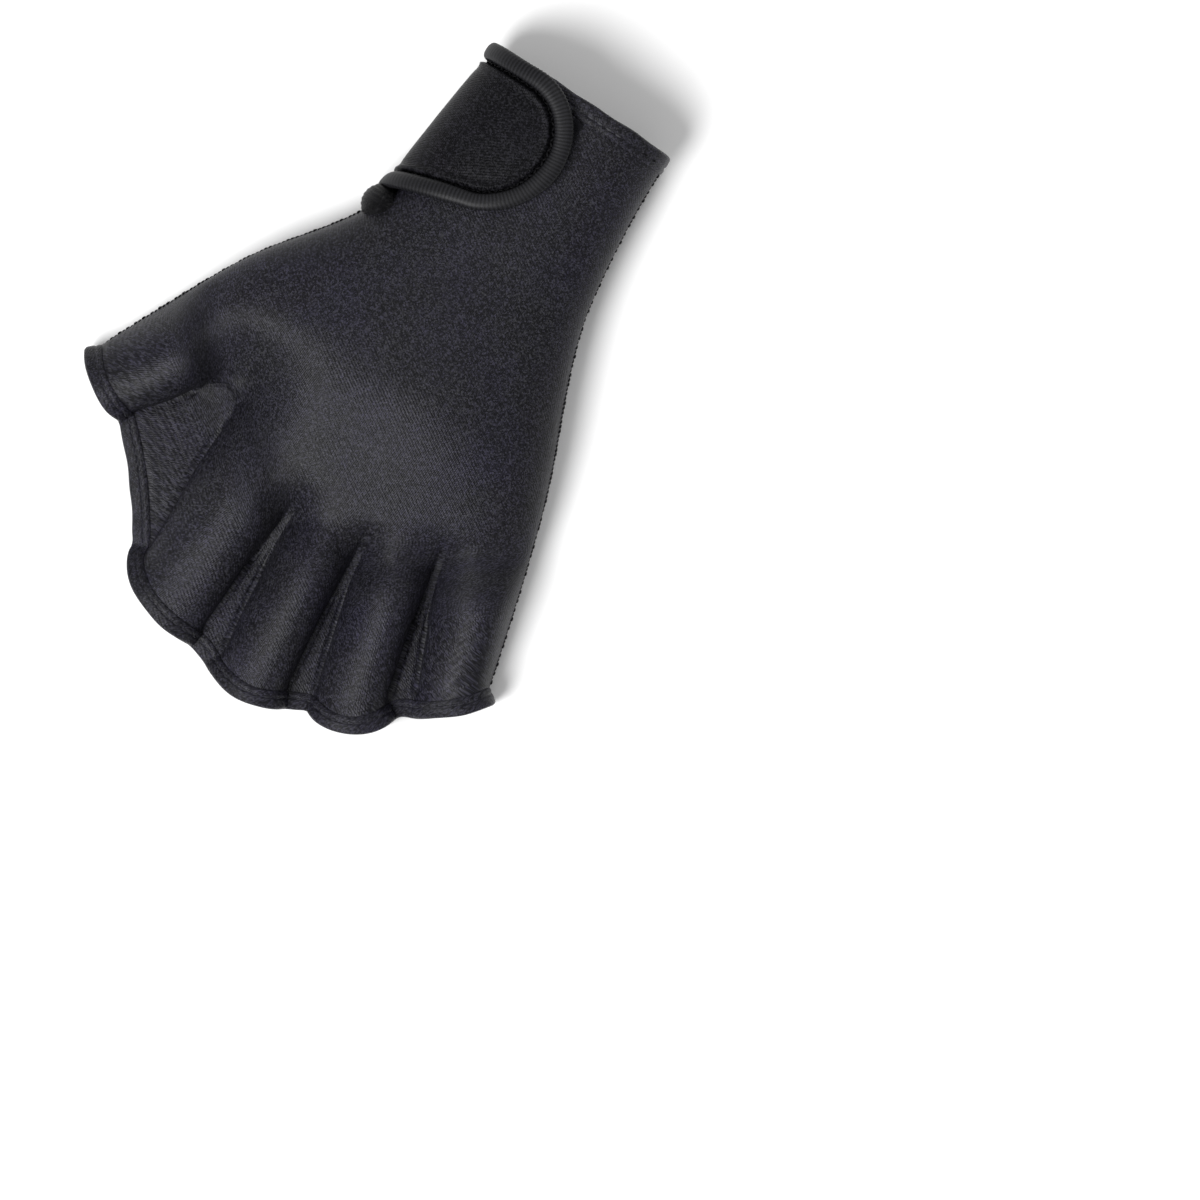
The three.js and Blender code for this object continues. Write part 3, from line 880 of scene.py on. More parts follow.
@dataclass(frozen=True)
class TapeFinish:
    """Ribbed elastic tape, whose fine ribs run across it."""

    name: str = "ribbed_tape"
    dark: tuple[float, ...] = (0.0008, 0.0008, 0.001, 1.0)
    light: tuple[float, ...] = (0.017, 0.017, 0.02, 1.0)
    rib: float = 1.0
    relief: float = 0.16
    specular: float = 0.17

    def material(self) -> bpy.types.Material:
        """Makes the tape's material, whose ribs cross the tape as its flat map runs along it.

        Returns:
            The material.
        """
        bench = Bench(self.name)
        flat = bench.cloth_map()
        ribs = bench.bands(bench.cloth_map(90.0), self.rib, 0.3)
        fuzz = bench.noise(flat, 0.35, 3.0)
        height = bench.math("MULTIPLY_ADD", ribs, 0.8, bench.math("MULTIPLY", fuzz, 0.3))
        tone = bench.math("MULTIPLY_ADD", ribs, 0.6, bench.math("MULTIPLY", fuzz, 0.3))
        color = bench.blend(tone, self.dark, self.light)
        roughness = bench.math("MULTIPLY_ADD", fuzz, 0.15, 0.4)
        return bench.cloth(color, roughness, height, self.relief, 0.0, self.specular)


@dataclass(frozen=True)
class ThreadFinish:
    """Twisted sewing thread."""

    name: str
    color: tuple[float, ...]
    roughness: float = 0.6
    paler: float = 1.7

    def material(self) -> bpy.types.Material:
        """Makes the thread's material, whose twist follows the piece's own place.

        Returns:
            The material.
        """
        bench = Bench(self.name)
        place = bench.add("TexCoord").outputs["Object"]
        twist = bench.noise(bench.scaled(place), 0.3)
        pale = tuple(self.paler * c for c in self.color[:3]) + (1.0,)
        color = bench.blend(twist, self.color, pale)
        return bench.cloth(color, self.roughness, twist, 0.05, 0.0, 0.08)


@dataclass(frozen=True)
class PileFinish:
    """Brushed loop pile."""

    name: str = "loop_pile"
    dark: tuple[float, ...] = (0.0025, 0.0025, 0.003, 1.0)
    light: tuple[float, ...] = (0.014, 0.014, 0.017, 1.0)

    def material(self) -> bpy.types.Material:
        """Makes the pile's material.

        Returns:
            The material.
        """
        bench = Bench(self.name)
        flat = bench.cloth_map()
        loops = bench.add("TexVoronoi", {"Vector": flat, "Scale": 1.9}).outputs["Distance"]
        fuzz = bench.noise(flat, 0.3, 3.0)
        height = bench.math("MULTIPLY_ADD", loops, 0.8, fuzz)
        color = bench.blend(bench.math("MULTIPLY", height, 0.7), self.dark, self.light)
        return bench.cloth(color, 0.85, height, 0.4, 0.02, 0.05)


@dataclass(frozen=True)
class TableFinish:
    """The smooth pale paint of the table."""

    name: str = "pale_table"
    color: tuple[float, ...] = (0.9, 0.9, 0.9, 1.0)

    def material(self) -> bpy.types.Material:
        """Makes the table's material.

        Returns:
            The material.
        """
        bench = Bench(self.name)
        place = bench.add("TexCoord").outputs["Object"]
        grain = bench.add("TexNoise", {"Vector": place, "Scale": 40.0}).outputs["Fac"]
        roughness = bench.math("MULTIPLY_ADD", grain, 0.05, 0.8)
        return bench.cloth(self.color, roughness, grain, 0.01, 0.0, 0.2)


@dataclass
class Panel:
    """One neoprene sheet, with the grooves that the web seams draw into it."""

    form: HandForm
    side: Side
    groove_depth: float = 0.75
    groove_width: float = 0.75
    corner: float = 5.0
    ripple: float = 0.28
    palm_share: float = 0.5
    rim_rows: int = 6
    thinner: float = 0.15

    def seam_pull(self, strips: np.ndarray, shares: np.ndarray) -> np.ndarray:
        """How deep the web seams draw the sheet in, with a round corner at the thumb web's head.

        Args:
            strips: The strip of each column.
            shares: Its share of the strip.

        Returns:
            Depths in millimetres, rows by columns.
        """
        form = self.form
        row = rows()[:, None]
        lines = form.line_points(rows())
        width = np.linalg.norm(lines[strips + 1] - lines[strips], axis=-1).T
        crease = mix(form.creases[strips], form.creases[strips + 1], shares)
        thumb = np.exp(-(((strips + shares - 1.5) / 0.9) ** 4))
        head = mix(crease, form.heads(strips, shares), thumb)
        on = smooth((row - head) / mix(0.1, 0.02, thumb) - mix(0.0, 0.7, thumb))
        left = np.where(strips == 0, np.inf, shares * width)
        right = np.where(strips == len(STRIPS) - 1, np.inf, (1 - shares) * width)
        near = np.minimum(left, right)
        depth = np.exp(-((near / self.groove_width) ** 2)) * on
        row_length = (form.end - form.cuff_length) / (1 - form.cuff_share)
        ahead = (row - form.heads(strips, shares)) * row_length
        corner = np.hypot(np.maximum(self.corner - near, 0.0), np.maximum(self.corner - ahead, 0.0))
        head_seam = np.exp(-(((self.corner - corner) / self.groove_width) ** 2))
        depth = np.where((strips == THUMB_WEB) & (ahead < self.corner), head_seam, depth)
        return self.groove_depth * depth

    def ripples(self, x: np.ndarray, y: np.ndarray) -> np.ndarray:
        """Soft uneven waves of the lying sheet, broad ones and finer ones half as high."""
        broad = np.sin(x / 11 + 0.8 * np.sin(y / 23)) * np.sin(y / 15 + 0.7 * np.sin(x / 17))
        return broad + 0.5 * np.sin(x / 5.3 - y / 9.1) * np.sin(y / 6.7 + 1.0)

    def flat_map(self, places: np.ndarray) -> np.ndarray:
        """The sheet's flat map: as seen from above, and let out sideways where it is steep.

        Args:
            places: Rows by columns of places on the smooth sheet.

        Returns:
            Rows by columns of places on the flat cloth.
        """
        level, whole = (np.linalg.norm(np.diff(places[..., :n], axis=1), axis=-1) for n in (2, 3))
        steeper = np.cumsum(np.pad(whole - level, ((0, 0), (1, 0))), axis=1)
        middle = np.argmin(np.abs(places[..., 0] - self.form.shift[0]), axis=1)[:, None]
        steeper = steeper - np.take_along_axis(steeper, middle, 1)
        return np.stack([places[..., 0] + steeper, places[..., 1]], -1)

    def build(self, material: bpy.types.Material) -> bpy.types.Object:
        """Makes the sheet and dresses it.

        Args:
            material: The jersey.

        Returns:
            The sheet.
        """
        strips, shares = columns()
        places = self.form.face(strips, shares, rows(), self.side)
        lift = -self.seam_pull(strips, shares)
        if self.side is Side.BACK:
            lift = lift + self.ripple * self.ripples(places[..., 0], places[..., 1])
        else:
            lift = self.palm_share * lift
        order = np.arange(len(rows()))
        edge = np.minimum(order, order[::-1])[:, None]
        lift = lift * smooth(edge / self.rim_rows)
        lift[:, [0, -1]] = 0.0
        laid = places + normals_of(places, self.side) * lift[..., None]
        if self.side is Side.PALM:
            laid[..., 2] = np.maximum(laid[..., 2], 0.0)
        name = "back_sheet" if self.side is Side.BACK else "palm_sheet"
        piece = laid_grid(name, laid, self.flat_map(places))
        pick(piece)
        if np.sign(sum(f.normal.z for f in piece.data.polygons)) != self.side.value:
            bpy.ops.object.mode_set(mode="EDIT")
            bpy.ops.mesh.select_all(action="SELECT")
            bpy.ops.mesh.flip_normals()
            bpy.ops.object.mode_set(mode="OBJECT")
        finish_with(piece, "SOLIDIFY", thickness=(self.form.wall - self.thinner) * MM, offset=-1.0)
        node = "back_panel" if self.side is Side.BACK else "palm_panel"
        return dress(piece, material, [node])


@dataclass
class Rim:
    """One end of a panel: its places, the way off the sheet, the way out and the inner face."""

    form: HandForm
    side: Side
    end: End
    step: float = 0.004
    chord: float = 4.6

    def __post_init__(self) -> None:
        """Measures the rim at every column of the panel."""
        form, side, step = self.form, self.side, self.step
        strips, shares = columns()
        near = [1 - 2 * step, 1 - step, 1.0] if self.end is End.FINGERS else [0.0, step, 2 * step]
        places = form.face(strips, shares, np.array(near), side)
        normal = normals_of(places, side)
        k = 2 if self.end is End.FINGERS else 0
        self.outer, self.normal = places[k], normal[k]
        along = unit(places[2] - places[0])
        for i, sign in ((0, -1.0), (-1, 1.0)):
            level = unit(np.array([along[i][1], -along[i][0], 0.0]))
            self.normal[i] = level if level[0] * sign > 0 else -level
        plan = self.outer[:, :2]
        self.run = run = distances(plan)
        chord = along_path(run + self.chord, run, plan) - along_path(run - self.chord, run, plan)
        sign = 1.0 if self.end is End.CUFF else -1.0
        self.out = unit(np.stack([-chord[:, 1], chord[:, 0], np.zeros(len(run))], -1)) * sign
        wall = -self.form.wall * self.normal
        wall = wall - self.out * np.sum(wall * self.out, -1, keepdims=True)
        inner = self.outer + wall
        row = np.array([self.end.value])
        gap = np.full(len(run), form.sew_gap)
        gap[[0, -1]] = form.sew_gap / 2
        nearest = height_at(form.seam, row)[0] + side.value * gap
        limit = np.maximum if side is Side.BACK else np.minimum
        inner[:, 2] = limit(inner[:, 2], nearest)
        self.inner = inner

    def resampled(self, spacing: float) -> dict[str, np.ndarray]:
        """The rim at even distances along it.

        Args:
            spacing: The distance in millimetres.

        Returns:
            Outer places, normals, ways out and inner places, by name.
        """
        count = max(2, int(self.run[-1] / spacing))
        at = np.linspace(0.0, self.run[-1], count + 1)
        found = {}
        for name in ("outer", "normal", "out", "inner"):
            found[name] = along_path(at, self.run, getattr(self, name))
        found["normal"], found["out"] = unit(found["normal"]), unit(found["out"])
        return found


@dataclass
class Hem:
    """A folded, stitched hem along one or two rims."""

    form: HandForm
    name: str
    nodes: tuple[str, ...]
    width: float
    rise: float = 0.5
    stitch_at: float = 0.3
    stitch_pitch: float = 3.0
    stitch_length: float = 1.9
    stitch_radius: float = 0.34
    stitch_sink: float = 0.22
    groove: float = 0.11
    welt: float = 0.05
    swell: float = 0.04

    def section(self) -> np.ndarray:
        """The hem's section: under its fold, round its nose and back over it to the sheet.

        Returns:
            Places past the sheet's edge as shares of the width, and heights over the inner face.
        """
        under = np.array([[-0.12, -0.04], [0.0, -0.02], [0.2, 0.0], [0.45, 0.0], [0.7, 0.0]])
        turn = np.radians(np.linspace(-80, 80, 13))
        nose = np.stack([0.78 + 0.22 * np.cos(turn), 0.5 + 0.5 * np.sin(turn)], -1)
        past = np.linspace(0.72, 0.04, 18)
        groove = self.groove * np.exp(-(((past - self.stitch_at) / 0.075) ** 2))
        welt = self.welt * np.exp(-(((past - 0.1) / 0.06) ** 2))
        swell = self.swell * np.sin(np.pi * past / 0.76)
        over = np.stack([past, 1.0 + swell - groove + welt], -1)
        foot = np.array([[-0.05, 1.02], [-0.12, 0.92], [-0.03, 0.7], [-0.03, 0.3]])
        return np.concatenate([under, nose, over, foot, under[:1]])

    def build(
        self, rims: Sequence[Rim], material: bpy.types.Material, spacing: float = 0.8
    ) -> bpy.types.Object:
        """Makes the hem and dresses it.

        Args:
            rims: The rims that it follows, one after the other.
            material: Its cloth.
            spacing: Distance between its sections, in millimetres.

        Returns:
            The hem.
        """
        parts = [rim.resampled(spacing) for rim in rims]
        if len(parts) == 2:
            parts[1] = {name: table[::-1] for name, table in parts[1].items()}
        rim = {name: np.concatenate([part[name] for part in parts]) for name in parts[0]}
        run = np.arange(len(rim["outer"])) * spacing
        wobble = 0.12 * np.sin(run / 2.1) + 0.1 * np.sin(run / 5.7)
        rise = self.rise + 0.4 * wobble
        rise[[0, -1]] = 0.0
        outer = rim["outer"] + rim["normal"] * rise[:, None]
        outer[:, 2] = np.maximum(outer[:, 2], 0.0)
        past, high = self.section().T
        across = mix(rim["inner"][:, None], outer[:, None], high[None, :, None])
        out = self.form.sew_gap + past[None, :] * (self.width + wobble)[:, None]
        places = across + rim["out"][:, None] * out[..., None]
        places[..., 2] = np.maximum(places[..., 2], 0.0)
        piece = laid_grid(self.name, places)
        close_up(piece)
        return dress(piece, material, list(self.nodes))

    def stitches(
        self,
        rim: Rim,
        material: bpy.types.Material,
        span: tuple[float, float] = (0.0, 1.0),
        name: str = "",
    ) -> bpy.types.Object:
        """Sews the hem's row of stitches along one rim.

        Args:
            rim: The rim.
            material: The thread.
            span: The stretch of the rim that is sewn, as shares of it.
            name: The row's own name, if the hem has several.

        Returns:
            The row of stitches.
        """
        part = rim.resampled(self.stitch_pitch)
        count = len(part["outer"])
        keep = slice(int(span[0] * count) + 1, max(int(span[1] * count) - 1, 3))
        out, normal = part["out"][keep], part["normal"][keep]
        past = self.form.sew_gap + self.stitch_at * self.width
        middle = part["outer"][keep] + normal * (self.rise - self.stitch_sink) + out * past
        along = np.gradient(part["outer"], axis=0)[keep]
        name = name or self.name + "_stitches"
        row = sewn_row(name, middle, along, normal, self.stitch_length, self.stitch_radius, 0.8)
        return dress(row, material)


@dataclass
class SideSeams:
    """The overlocked edges where the back and the palm sheet meet."""

    form: HandForm
    pitch: float = 1.35
    length: float = 3.0
    radius: float = 0.42
    slant: float = 0.45
    sink: float = 0.1
    end: float = 1.0

    def build(self, material: bpy.types.Material) -> None:
        """Sews both sides.

        Args:
            material: The thread.
        """
        edges = (("thumb_side_seam", 0, 0.0), ("little_side_seam", len(STRIPS) - 1, 1.0))
        near = np.linspace(0.0, 1.0, 400)
        for name, strip, share in edges:
            line = self.form.face(np.array([strip]), np.array([share]), near, Side.BACK)[:, 0]
            run = distances(line)
            at = np.arange(self.end, run[-1] - self.end, self.pitch)
            spots = along_path(at, run, line)
            along = unit(np.gradient(spots, axis=0))
            out = unit(np.stack([along[:, 1], -along[:, 0], np.zeros(len(at))], -1))
            out = np.where(out[:, :1] * (-1 if strip == 0 else 1) < 0, -out, out)
            uneven = 0.1 * np.sin(at * 2.3) + 0.08 * np.sin(at * 0.9)
            spots = spots + out * (uneven - self.sink)[:, None]
            spots = spots - np.array([0.0, 0.0, self.form.sew_gap / 2])
            upright = np.array([0.0, 0.0, 1.0]) + self.slant * along
            row = sewn_row(name, spots, upright, out, self.length, self.radius, 1.0)
            dress(row, material)


@dataclass
class CuffWrap:
    """The outside of the cuff, measured round it from its thumb side and along it from its edge."""

    form: HandForm
    before: float = -3.0
    after: float = 75.0
    count: int = 53
    fineness: int = 2001
    probe: float = 0.4

    def __post_init__(self) -> None:
        """Measures sections of the cuff."""
        form = self.form
        self.stations = np.linspace(self.before, self.after, self.count)
        angle = np.linspace(-math.pi, math.pi, self.fineness)
        across = np.cos(angle)
        self.tables = []
        for y in self.stations:
            share = (y - form.start) / (form.cuff_length - form.start)
            row = clamp(np.array([form.cuff_share * share]))
            seam = height_at(form.seam, row)[0]
            over = form.over_cuff(seam + form.sew_gap / 2, row, across)
            under = form.under_hand(seam - form.sew_gap / 2, across)
            z = np.where(angle < 0, under, over)
            x = -across * form.cuff_half(y)
            run = np.concatenate([[0.0], np.cumsum(np.hypot(np.diff(x), np.diff(z)))])
            self.tables.append((run - np.interp(0.0, angle, run), x, z))

    def section(self, around: np.ndarray, y: np.ndarray) -> tuple[np.ndarray, np.ndarray]:
        """Places on the outside of the cuff.

        Args:
            around: Distances round the cuff from its thumb side, positive over the back.
            y: Distances from its edge.

        Returns:
            Places across the cuff, and heights above the table.
        """
        x = np.stack([np.interp(around, run, xs) for run, xs, _ in self.tables])
        z = np.stack([np.interp(around, run, zs) for run, _, zs in self.tables])
        at = (y - self.stations[0]) / (self.stations[1] - self.stations[0])
        at = np.clip(at, 0, self.count - 1.001)
        k = at.astype(int)
        share = at - k
        pick_x = [np.take_along_axis(x, (k + d)[None], 0)[0] for d in (0, 1)]
        pick_z = [np.take_along_axis(z, (k + d)[None], 0)[0] for d in (0, 1)]
        return mix(*pick_x, share), mix(*pick_z, share)

    def place(self, around: np.ndarray, y: np.ndarray, lift: np.ndarray | float) -> np.ndarray:
        """Places so high over the outside of the cuff.

        Args:
            around: Distances round the cuff from its thumb side, positive over the back.
            y: Distances from its edge.
            lift: Heights over it.

        Returns:
            Places in millimetres of the frame.
        """
        x, z = self.section(around, y)
        normal = self.normal(around, y)
        return np.stack([x, -y, z], -1) + normal * np.asarray(lift)[..., None] + self.form.shift

    def normal(self, around: np.ndarray, y: np.ndarray) -> np.ndarray:
        """Outward normals of the cuff.

        Args:
            around: Distances round the cuff from its thumb side.
            y: Distances from its edge.

        Returns:
            One normal for each place.
        """
        x1, z1 = self.section(around + self.probe, y)
        x0, z0 = self.section(around - self.probe, y)
        return unit(np.stack([-(z1 - z0), np.zeros_like(x1), x1 - x0], -1))


@dataclass
class WristStrap:
    """The padded strap with its ribbed binding, over the thumb side and the back of the cuff."""

    wrap: CuffWrap
    reach: float = 41.0
    tail: float = 9.0
    round_end: float = 20.0
    end_width: float = 45.5
    root_width: float = 55.0
    binding_width: float = 5.2
    binding_thickness: float = 3.6
    hem_rise: float = 0.5
    patch_thickness: float = 1.0
    rib_pitch: float = 1.0
    last_turn: float = 68.0
    edge_ease: float = 2.5
    overlap: float = 0.5
    step: tuple[float, ...] = (0.0, 0.4, 0.9, 1.2, 1.5, 2.0, 2.6, 3.4, 5.0)
    step_height: tuple[float, ...] = (0.7, 0.8, 0.8, 1.7, 2.6, 3.0, 2.75, 2.6, 2.75)
    plump: float = 0.95
    plump_from: float = 4.0
    plump_over: float = 7.0
    stitch_height: float = 1.2

    def lift(self, around: np.ndarray) -> np.ndarray:
        """How high the strap's inner face runs over the cuff.

        Args:
            around: Distances round the cuff from its thumb side.

        Returns:
            Heights, which rise from the seam to the patch.
        """
        gap = self.wrap.form.sew_gap
        up = smooth((around + self.tail) / self.tail)
        return gap + mix(self.hem_rise, gap + self.patch_thickness, up)

    def round_edge(self, inset: float, share: np.ndarray) -> np.ndarray:
        """Places on the strap's round end.

        Args:
            inset: How far in from the edge.
            share: Shares of the way round the end.

        Returns:
            Places round and along the cuff.
        """
        half = self.end_width / 2
        turn = np.radians(mix(-90.0, self.last_turn, share))
        around = self.reach - self.round_end + (self.round_end - inset) * np.cos(turn)
        return np.stack([around, half + (half - inset) * np.sin(turn)], -1)

    def free_edge(self, inset: float, spacing: float) -> np.ndarray:
        """The strap's free edge at even distances: along the top, round the end and back below.

        Args:
            inset: How far in from the edge.
            spacing: Distance between places.

        Returns:
            Places round and along the cuff.
        """
        end = self.round_edge(inset, np.linspace(0, 1, 200))
        path = np.concatenate([[[-self.tail, inset]], end, [[-self.tail, self.root_width - inset]]])
        run = distances(path)
        found = along_path(np.linspace(0.0, run[-1], int(run[-1] / spacing) + 1), run, path)
        for _ in range(int(self.edge_ease / spacing)):
            found[1:-1] = (found[:-2] + 2 * found[1:-1] + found[2:]) / 4
        return found

    def pillow(self, material: bpy.types.Material) -> bpy.types.Object:
        """Makes the padded field inside the binding, with the stitched groove round it.

        Args:
            material: The jersey; for the strap, a darker copy that paints its shade.

        Returns:
            The field.
        """
        inset = self.binding_width + self.wrap.form.sew_gap - self.overlap
        s = (1 - np.cos(np.linspace(0, math.pi, 91))) / 2
        t = 1 - np.cos(np.linspace(0, math.pi / 2, 101))[::-1]
        t = (t - t[0]) / (t[-1] - t[0])
        root = np.stack([np.full(len(s), -self.tail), mix(inset, self.root_width - inset, s)], -1)
        end = self.round_edge(inset, s)
        plan = mix(root[None], end[None], t[:, None, None])
        edge = self.free_edge(inset, 0.4)
        away = np.sqrt(((plan[:, :, None, :] - edge[None, None]) ** 2).sum(-1).min(-1))
        away[:, [0, -1]] = 0.0
        away[-1] = 0.0
        inner = np.maximum(away - self.plump_from, 0.0)
        plump = self.plump * (1 - np.exp(-inner / self.plump_over))
        top = np.interp(away, self.step, self.step_height) + plump
        bottom = 0.9 * np.clip(1 - away / 0.8, 0, 1)
        pinch = smooth(t / 0.05)[:, None]
        top = bottom + (top - bottom) * pinch
        around, y = plan[..., 0], plan[..., 1]
        upper = self.wrap.place(around, y, self.lift(around) + top)
        lower = self.wrap.place(around, y, self.lift(around) + bottom)
        points = np.concatenate([upper, lower[:, ::-1][:, 1:]], axis=1)
        flat = np.concatenate([plan, plan[:, ::-1][:, 1:]], axis=1)
        piece = laid_grid("strap_pillow", points, flat)
        close_up(piece)
        dress(piece, material, ["strap_panel"])
        return piece

    def binding(self, material: bpy.types.Material) -> bpy.types.Object:
        """Makes the ribbed tape round the free edge.

        Args:
            material: The tape.

        Returns:
            The tape.
        """
        spacing = self.rib_pitch / 6
        path = self.free_edge(self.binding_width / 2, spacing)
        along = unit(np.gradient(path, axis=0))
        out = np.stack([along[:, 1], -along[:, 0]], -1)
        turn = np.linspace(0, 2 * math.pi, 25)
        wide = np.sign(np.cos(turn)) * np.abs(np.cos(turn)) ** 0.85
        tall = np.sign(np.sin(turn)) * np.abs(np.sin(turn)) ** 0.8
        run = np.arange(len(path)) * spacing
        rib = 1 + 0.035 * np.cos(2 * math.pi * run / self.rib_pitch)
        rib = rib + 0.03 * np.sin(run / 4.7) + 0.02 * np.sin(run / 2.3)
        half = wide[None] * rib[:, None] * self.binding_width / 2
        aside = path[:, None] + out[:, None] * half[..., None]
        high = self.binding_thickness / 2 * (1 + tall[None] * rib[:, None])
        around, y = aside[..., 0], aside[..., 1]
        points = self.wrap.place(around, y, self.lift(around) + high)
        points[..., 2] = np.maximum(points[..., 2], 0.1)
        flat = np.stack(np.broadcast_arrays(turn[None] * self.binding_width / 3, run[:, None]), -1)
        piece = laid_grid("strap_tape", points, flat)
        close_up(piece)
        return dress(piece, material, ["strap_binding"])

    def groove_stitches(self, material: bpy.types.Material) -> bpy.types.Object:
        """Sews the zigzag of stitches in the groove beside the binding.

        Args:
            material: The thread.

        Returns:
            The stitches.
        """
        path = self.free_edge(self.binding_width + 0.3, 1.5)[1:-1]
        along = unit(np.gradient(path, axis=0))
        out = np.stack([along[:, 1], -along[:, 0]], -1)
        slant = unit(along + out * np.where(np.arange(len(path)) % 2, 0.7, -0.7)[:, None])
        around, y = path.T
        lift = self.lift(around) + self.stitch_height
        middle = self.wrap.place(around, y, lift)
        ahead = self.wrap.place(*(path + 0.5 * slant).T, lift)
        normal = self.wrap.normal(around, y)
        row = sewn_row("strap_stitches", middle, ahead - middle, normal, 1.9, 0.4, 0.9)
        return dress(row, material)


@dataclass
class LoopPatch:
    """The pile patch on the back of the cuff, of which one corner shows."""

    wrap: CuffWrap
    start: float = 15.0
    reach: float = 38.4
    top: float = 6.2
    width: float = 22.0
    thickness: float = 1.0
    edge: float = 0.35
    seed: int = 7

    def build(self, material: bpy.types.Material) -> bpy.types.Object:
        """Makes the patch with its tufted face.

        Args:
            material: The pile.

        Returns:
            The patch.
        """
        gap = self.wrap.form.sew_gap
        low = self.top + self.width
        around, y = np.meshgrid(
            np.linspace(self.start, self.reach, 90), np.linspace(self.top, low, 110)
        )
        chance = np.random.default_rng(self.seed)
        sides = (around - self.start, self.reach - around, y - self.top, low - y)
        edge = np.minimum.reduce(sides)
        tuft = chance.uniform(-0.16, 0.12, around.shape) * smooth(edge / 0.6)
        side = smooth(edge / 0.5)
        high = self.thickness * mix(self.edge, 1.0, side)
        upper = self.wrap.place(around, y, gap + high + tuft)
        lower = self.wrap.place(around, y, gap + self.thickness * self.edge * (1 - side))
        flat = np.stack([around, y], -1)
        points = np.concatenate([upper, lower[:, ::-1][:, 1:]], axis=1)
        flat = np.concatenate([flat, flat[:, ::-1][:, 1:]], axis=1)
        piece = laid_grid("loop_patch_pile", points, flat)
        close_up(piece)
        return dress(piece, material, ["loop_patch"])


@dataclass
class SlitGusset:
    """The half-round folded piece that ends the slit, just below the strap on the thumb side."""

    shift: tuple[float, float, float] = (1.8, 2.4, 0.0)
    growth: tuple[float, float, float] = (1.2, 1.45, 1.0)
    rib: float = 0.02
    ribs: float = 26.0

    def build(self, material: bpy.types.Material) -> bpy.types.Object:
        """Makes the gusset and dresses it.

        Args:
            material: The tape.

        Returns:
            The gusset.
        """
        low, high = (np.array(corner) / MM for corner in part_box("slit_gusset"))
        deselect()
        bpy.ops.mesh.primitive_uv_sphere_add(segments=48, ring_count=24, radius=MM)
        piece = bpy.context.object
        piece.name = piece.data.name = "gusset_fold"
        mesh = piece.data
        place = np.empty(len(mesh.vertices) * 3)
        mesh.vertices.foreach_get("co", place)
        place = place.reshape(-1, 3) / MM
        middle = (low + high) / 2 + np.array(self.shift)
        half = (high - low) / 2 * np.array(self.growth)
        rib = 1 + self.rib * np.cos(place[:, 1] * self.ribs)
        mesh.vertices.foreach_set("co", ((middle + place * half * rib[:, None]) * MM).ravel())
        mesh.update()
        return dress(piece, material, ["slit_gusset"])


@dataclass(frozen=True)
class Lamp:
    """One soft light: where it stands and its width in metres, and its power in watts."""

    name: str
    place: tuple[float, float, float]
    size: float
    power: float


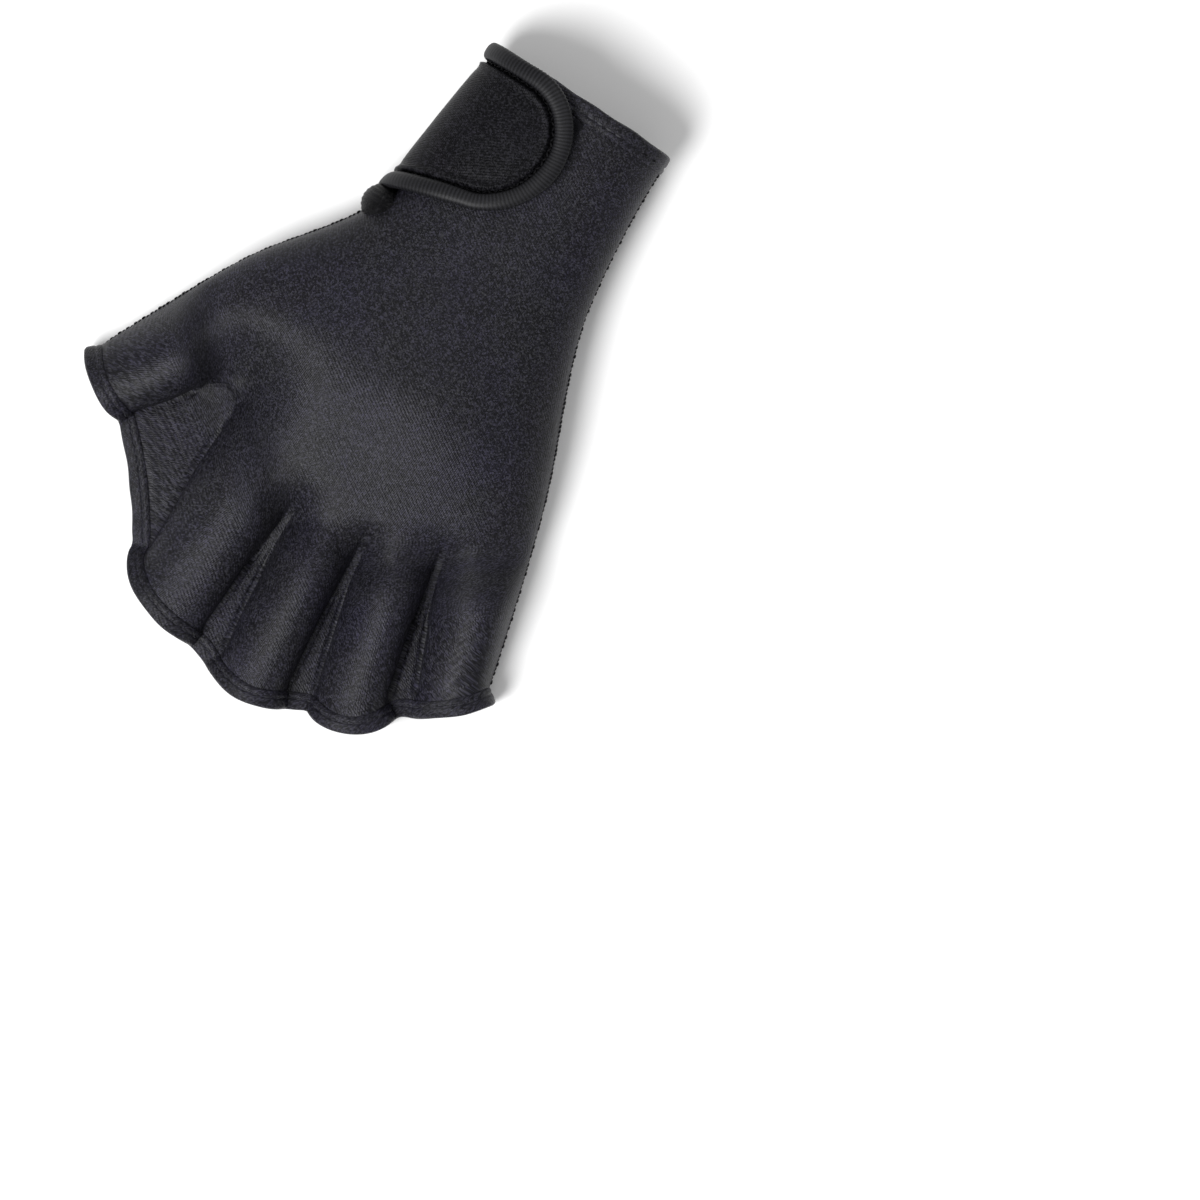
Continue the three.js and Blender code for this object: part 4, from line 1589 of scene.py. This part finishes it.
@dataclass
class Studio:
    """The pale table, the soft lights and the camera straight above."""

    middle: tuple[float, float] = (0.0852, -0.01806)
    turn: float = 33.3
    span: float = 0.342
    height: float = 3.0
    sensor: float = 36.0
    room_light: float = 0.36
    table_size: float = 8.0
    lamps: tuple[Lamp, ...] = (
        Lamp("key", (-0.3, -0.85, 1.2), 0.9, 31.5),
        Lamp("fill", (-0.1, 1.05, 1.35), 1.2, 7.0),
    )

    def table(self, material: bpy.types.Material) -> None:
        """Adds the table that the glove lies on.

        Args:
            material: Its paint.
        """
        deselect()
        bpy.ops.mesh.primitive_plane_add(size=self.table_size, location=(0.0, 0.0, 0.0))
        floor = bpy.context.object
        floor.name = floor.data.name = "table"
        floor.data.materials.append(material)

    def light(self, lamp: Lamp) -> None:
        """Adds one soft light that looks at the glove.

        Args:
            lamp: The light.
        """
        disc = bpy.data.lights.new(lamp.name, "AREA")
        disc.shape = "DISK"
        disc.size = lamp.size
        disc.energy = lamp.power
        stand = bpy.data.objects.new(lamp.name, disc)
        stand.location = lamp.place
        stand.rotation_euler = (-Vector(lamp.place)).to_track_quat("-Z", "Y").to_euler()
        stand.visible_camera = False
        bpy.context.collection.objects.link(stand)

    def camera(self) -> None:
        """Adds the camera at the photograph's angle."""
        eye = bpy.data.cameras.new("camera")
        eye.sensor_width = self.sensor
        eye.lens = eye.sensor_width * self.height / self.span
        eye.clip_end = 20.0
        stand = bpy.data.objects.new("camera", eye)
        stand.location = (*self.middle, self.height)
        stand.rotation_euler = (0.0, 0.0, math.radians(self.turn))
        bpy.context.collection.objects.link(stand)
        bpy.context.scene.camera = stand

    def build(self) -> None:
        """Sets up the whole studio."""
        self.table(TableFinish().material())
        for lamp in self.lamps:
            self.light(lamp)
        world = bpy.context.scene.world or bpy.data.worlds.new("room")
        bpy.context.scene.world = world
        world.use_nodes = True
        room = world.node_tree.nodes["Background"].inputs
        room["Color"].default_value = (1.0, 1.0, 1.0, 1.0)
        room["Strength"].default_value = self.room_light
        bpy.context.scene.view_settings.view_transform = "Standard"
        self.camera()


def main() -> None:
    """Builds the glove piece by piece, and then the studio."""
    form = HandForm()
    jersey = JerseyFinish().material()
    hem_jersey = JerseyFinish(name="hem_jersey", turn=-20.0).material()
    # Painted shade: the strap's jersey is the glove's jersey with darker pale and violet specks,
    # standing in for the shade over the strap.
    painted_shade_strap_jersey = JerseyFinish(
        name="painted_shade_strap_jersey",
        specular=0.05,
        light=(0.016, 0.016, 0.018, 1.0),
        violet=(0.016, 0.015, 0.021, 1.0),
    ).material()
    tape = TapeFinish().material()
    dark_thread = ThreadFinish("dark_thread", (0.0025, 0.0025, 0.003, 1.0)).material()
    grey_thread = ThreadFinish("grey_thread", (0.016, 0.016, 0.019, 1.0)).material()
    # Painted highlight: a paler copy of the dark thread, for cuff stitches that catch the light.
    painted_highlight_thread = ThreadFinish("painted_highlight_thread", (0.036, 0.036, 0.04, 1.0)).material()

    for side in Side:
        Panel(form, side).build(jersey)
    for side, node in ((Side.BACK, "finger_hem_back"), (Side.PALM, "finger_hem_palm")):
        rim = Rim(form, side, End.FINGERS)
        hem = Hem(form, node.replace("hem", "edge"), (node,), form.finger_hem)
        hem.build([rim], hem_jersey)
        hem.stitches(rim, grey_thread)
    back_rim, palm_rim = Rim(form, Side.BACK, End.CUFF), Rim(form, Side.PALM, End.CUFF)
    cuff = Hem(form, "cuff_edge", ("cuff_hem",), form.cuff_hem)
    cuff.build([back_rim, palm_rim], hem_jersey)
    # Painted highlight: this stretch of the cuff's stitches gets the paler thread where they catch the
    # light; the rest stays dark thread.
    cuff.stitches(back_rim, painted_highlight_thread, (0.5, 0.8), "cuff_edge_painted_highlight_stitches")
    cuff.stitches(back_rim, dark_thread, (0.8, 1.0), "cuff_edge_dark_stitches")
    cuff.stitches(palm_rim, dark_thread, (0.0, 1.0), "cuff_edge_palm_stitches")
    SideSeams(form).build(dark_thread)

    wrap = CuffWrap(form)
    strap = WristStrap(wrap)
    strap.pillow(painted_shade_strap_jersey)
    strap.binding(tape)
    strap.groove_stitches(dark_thread)
    LoopPatch(wrap).build(PileFinish().material())
    SlitGusset().build(tape)

    Studio().build()


if __name__ == "__main__":
    main()
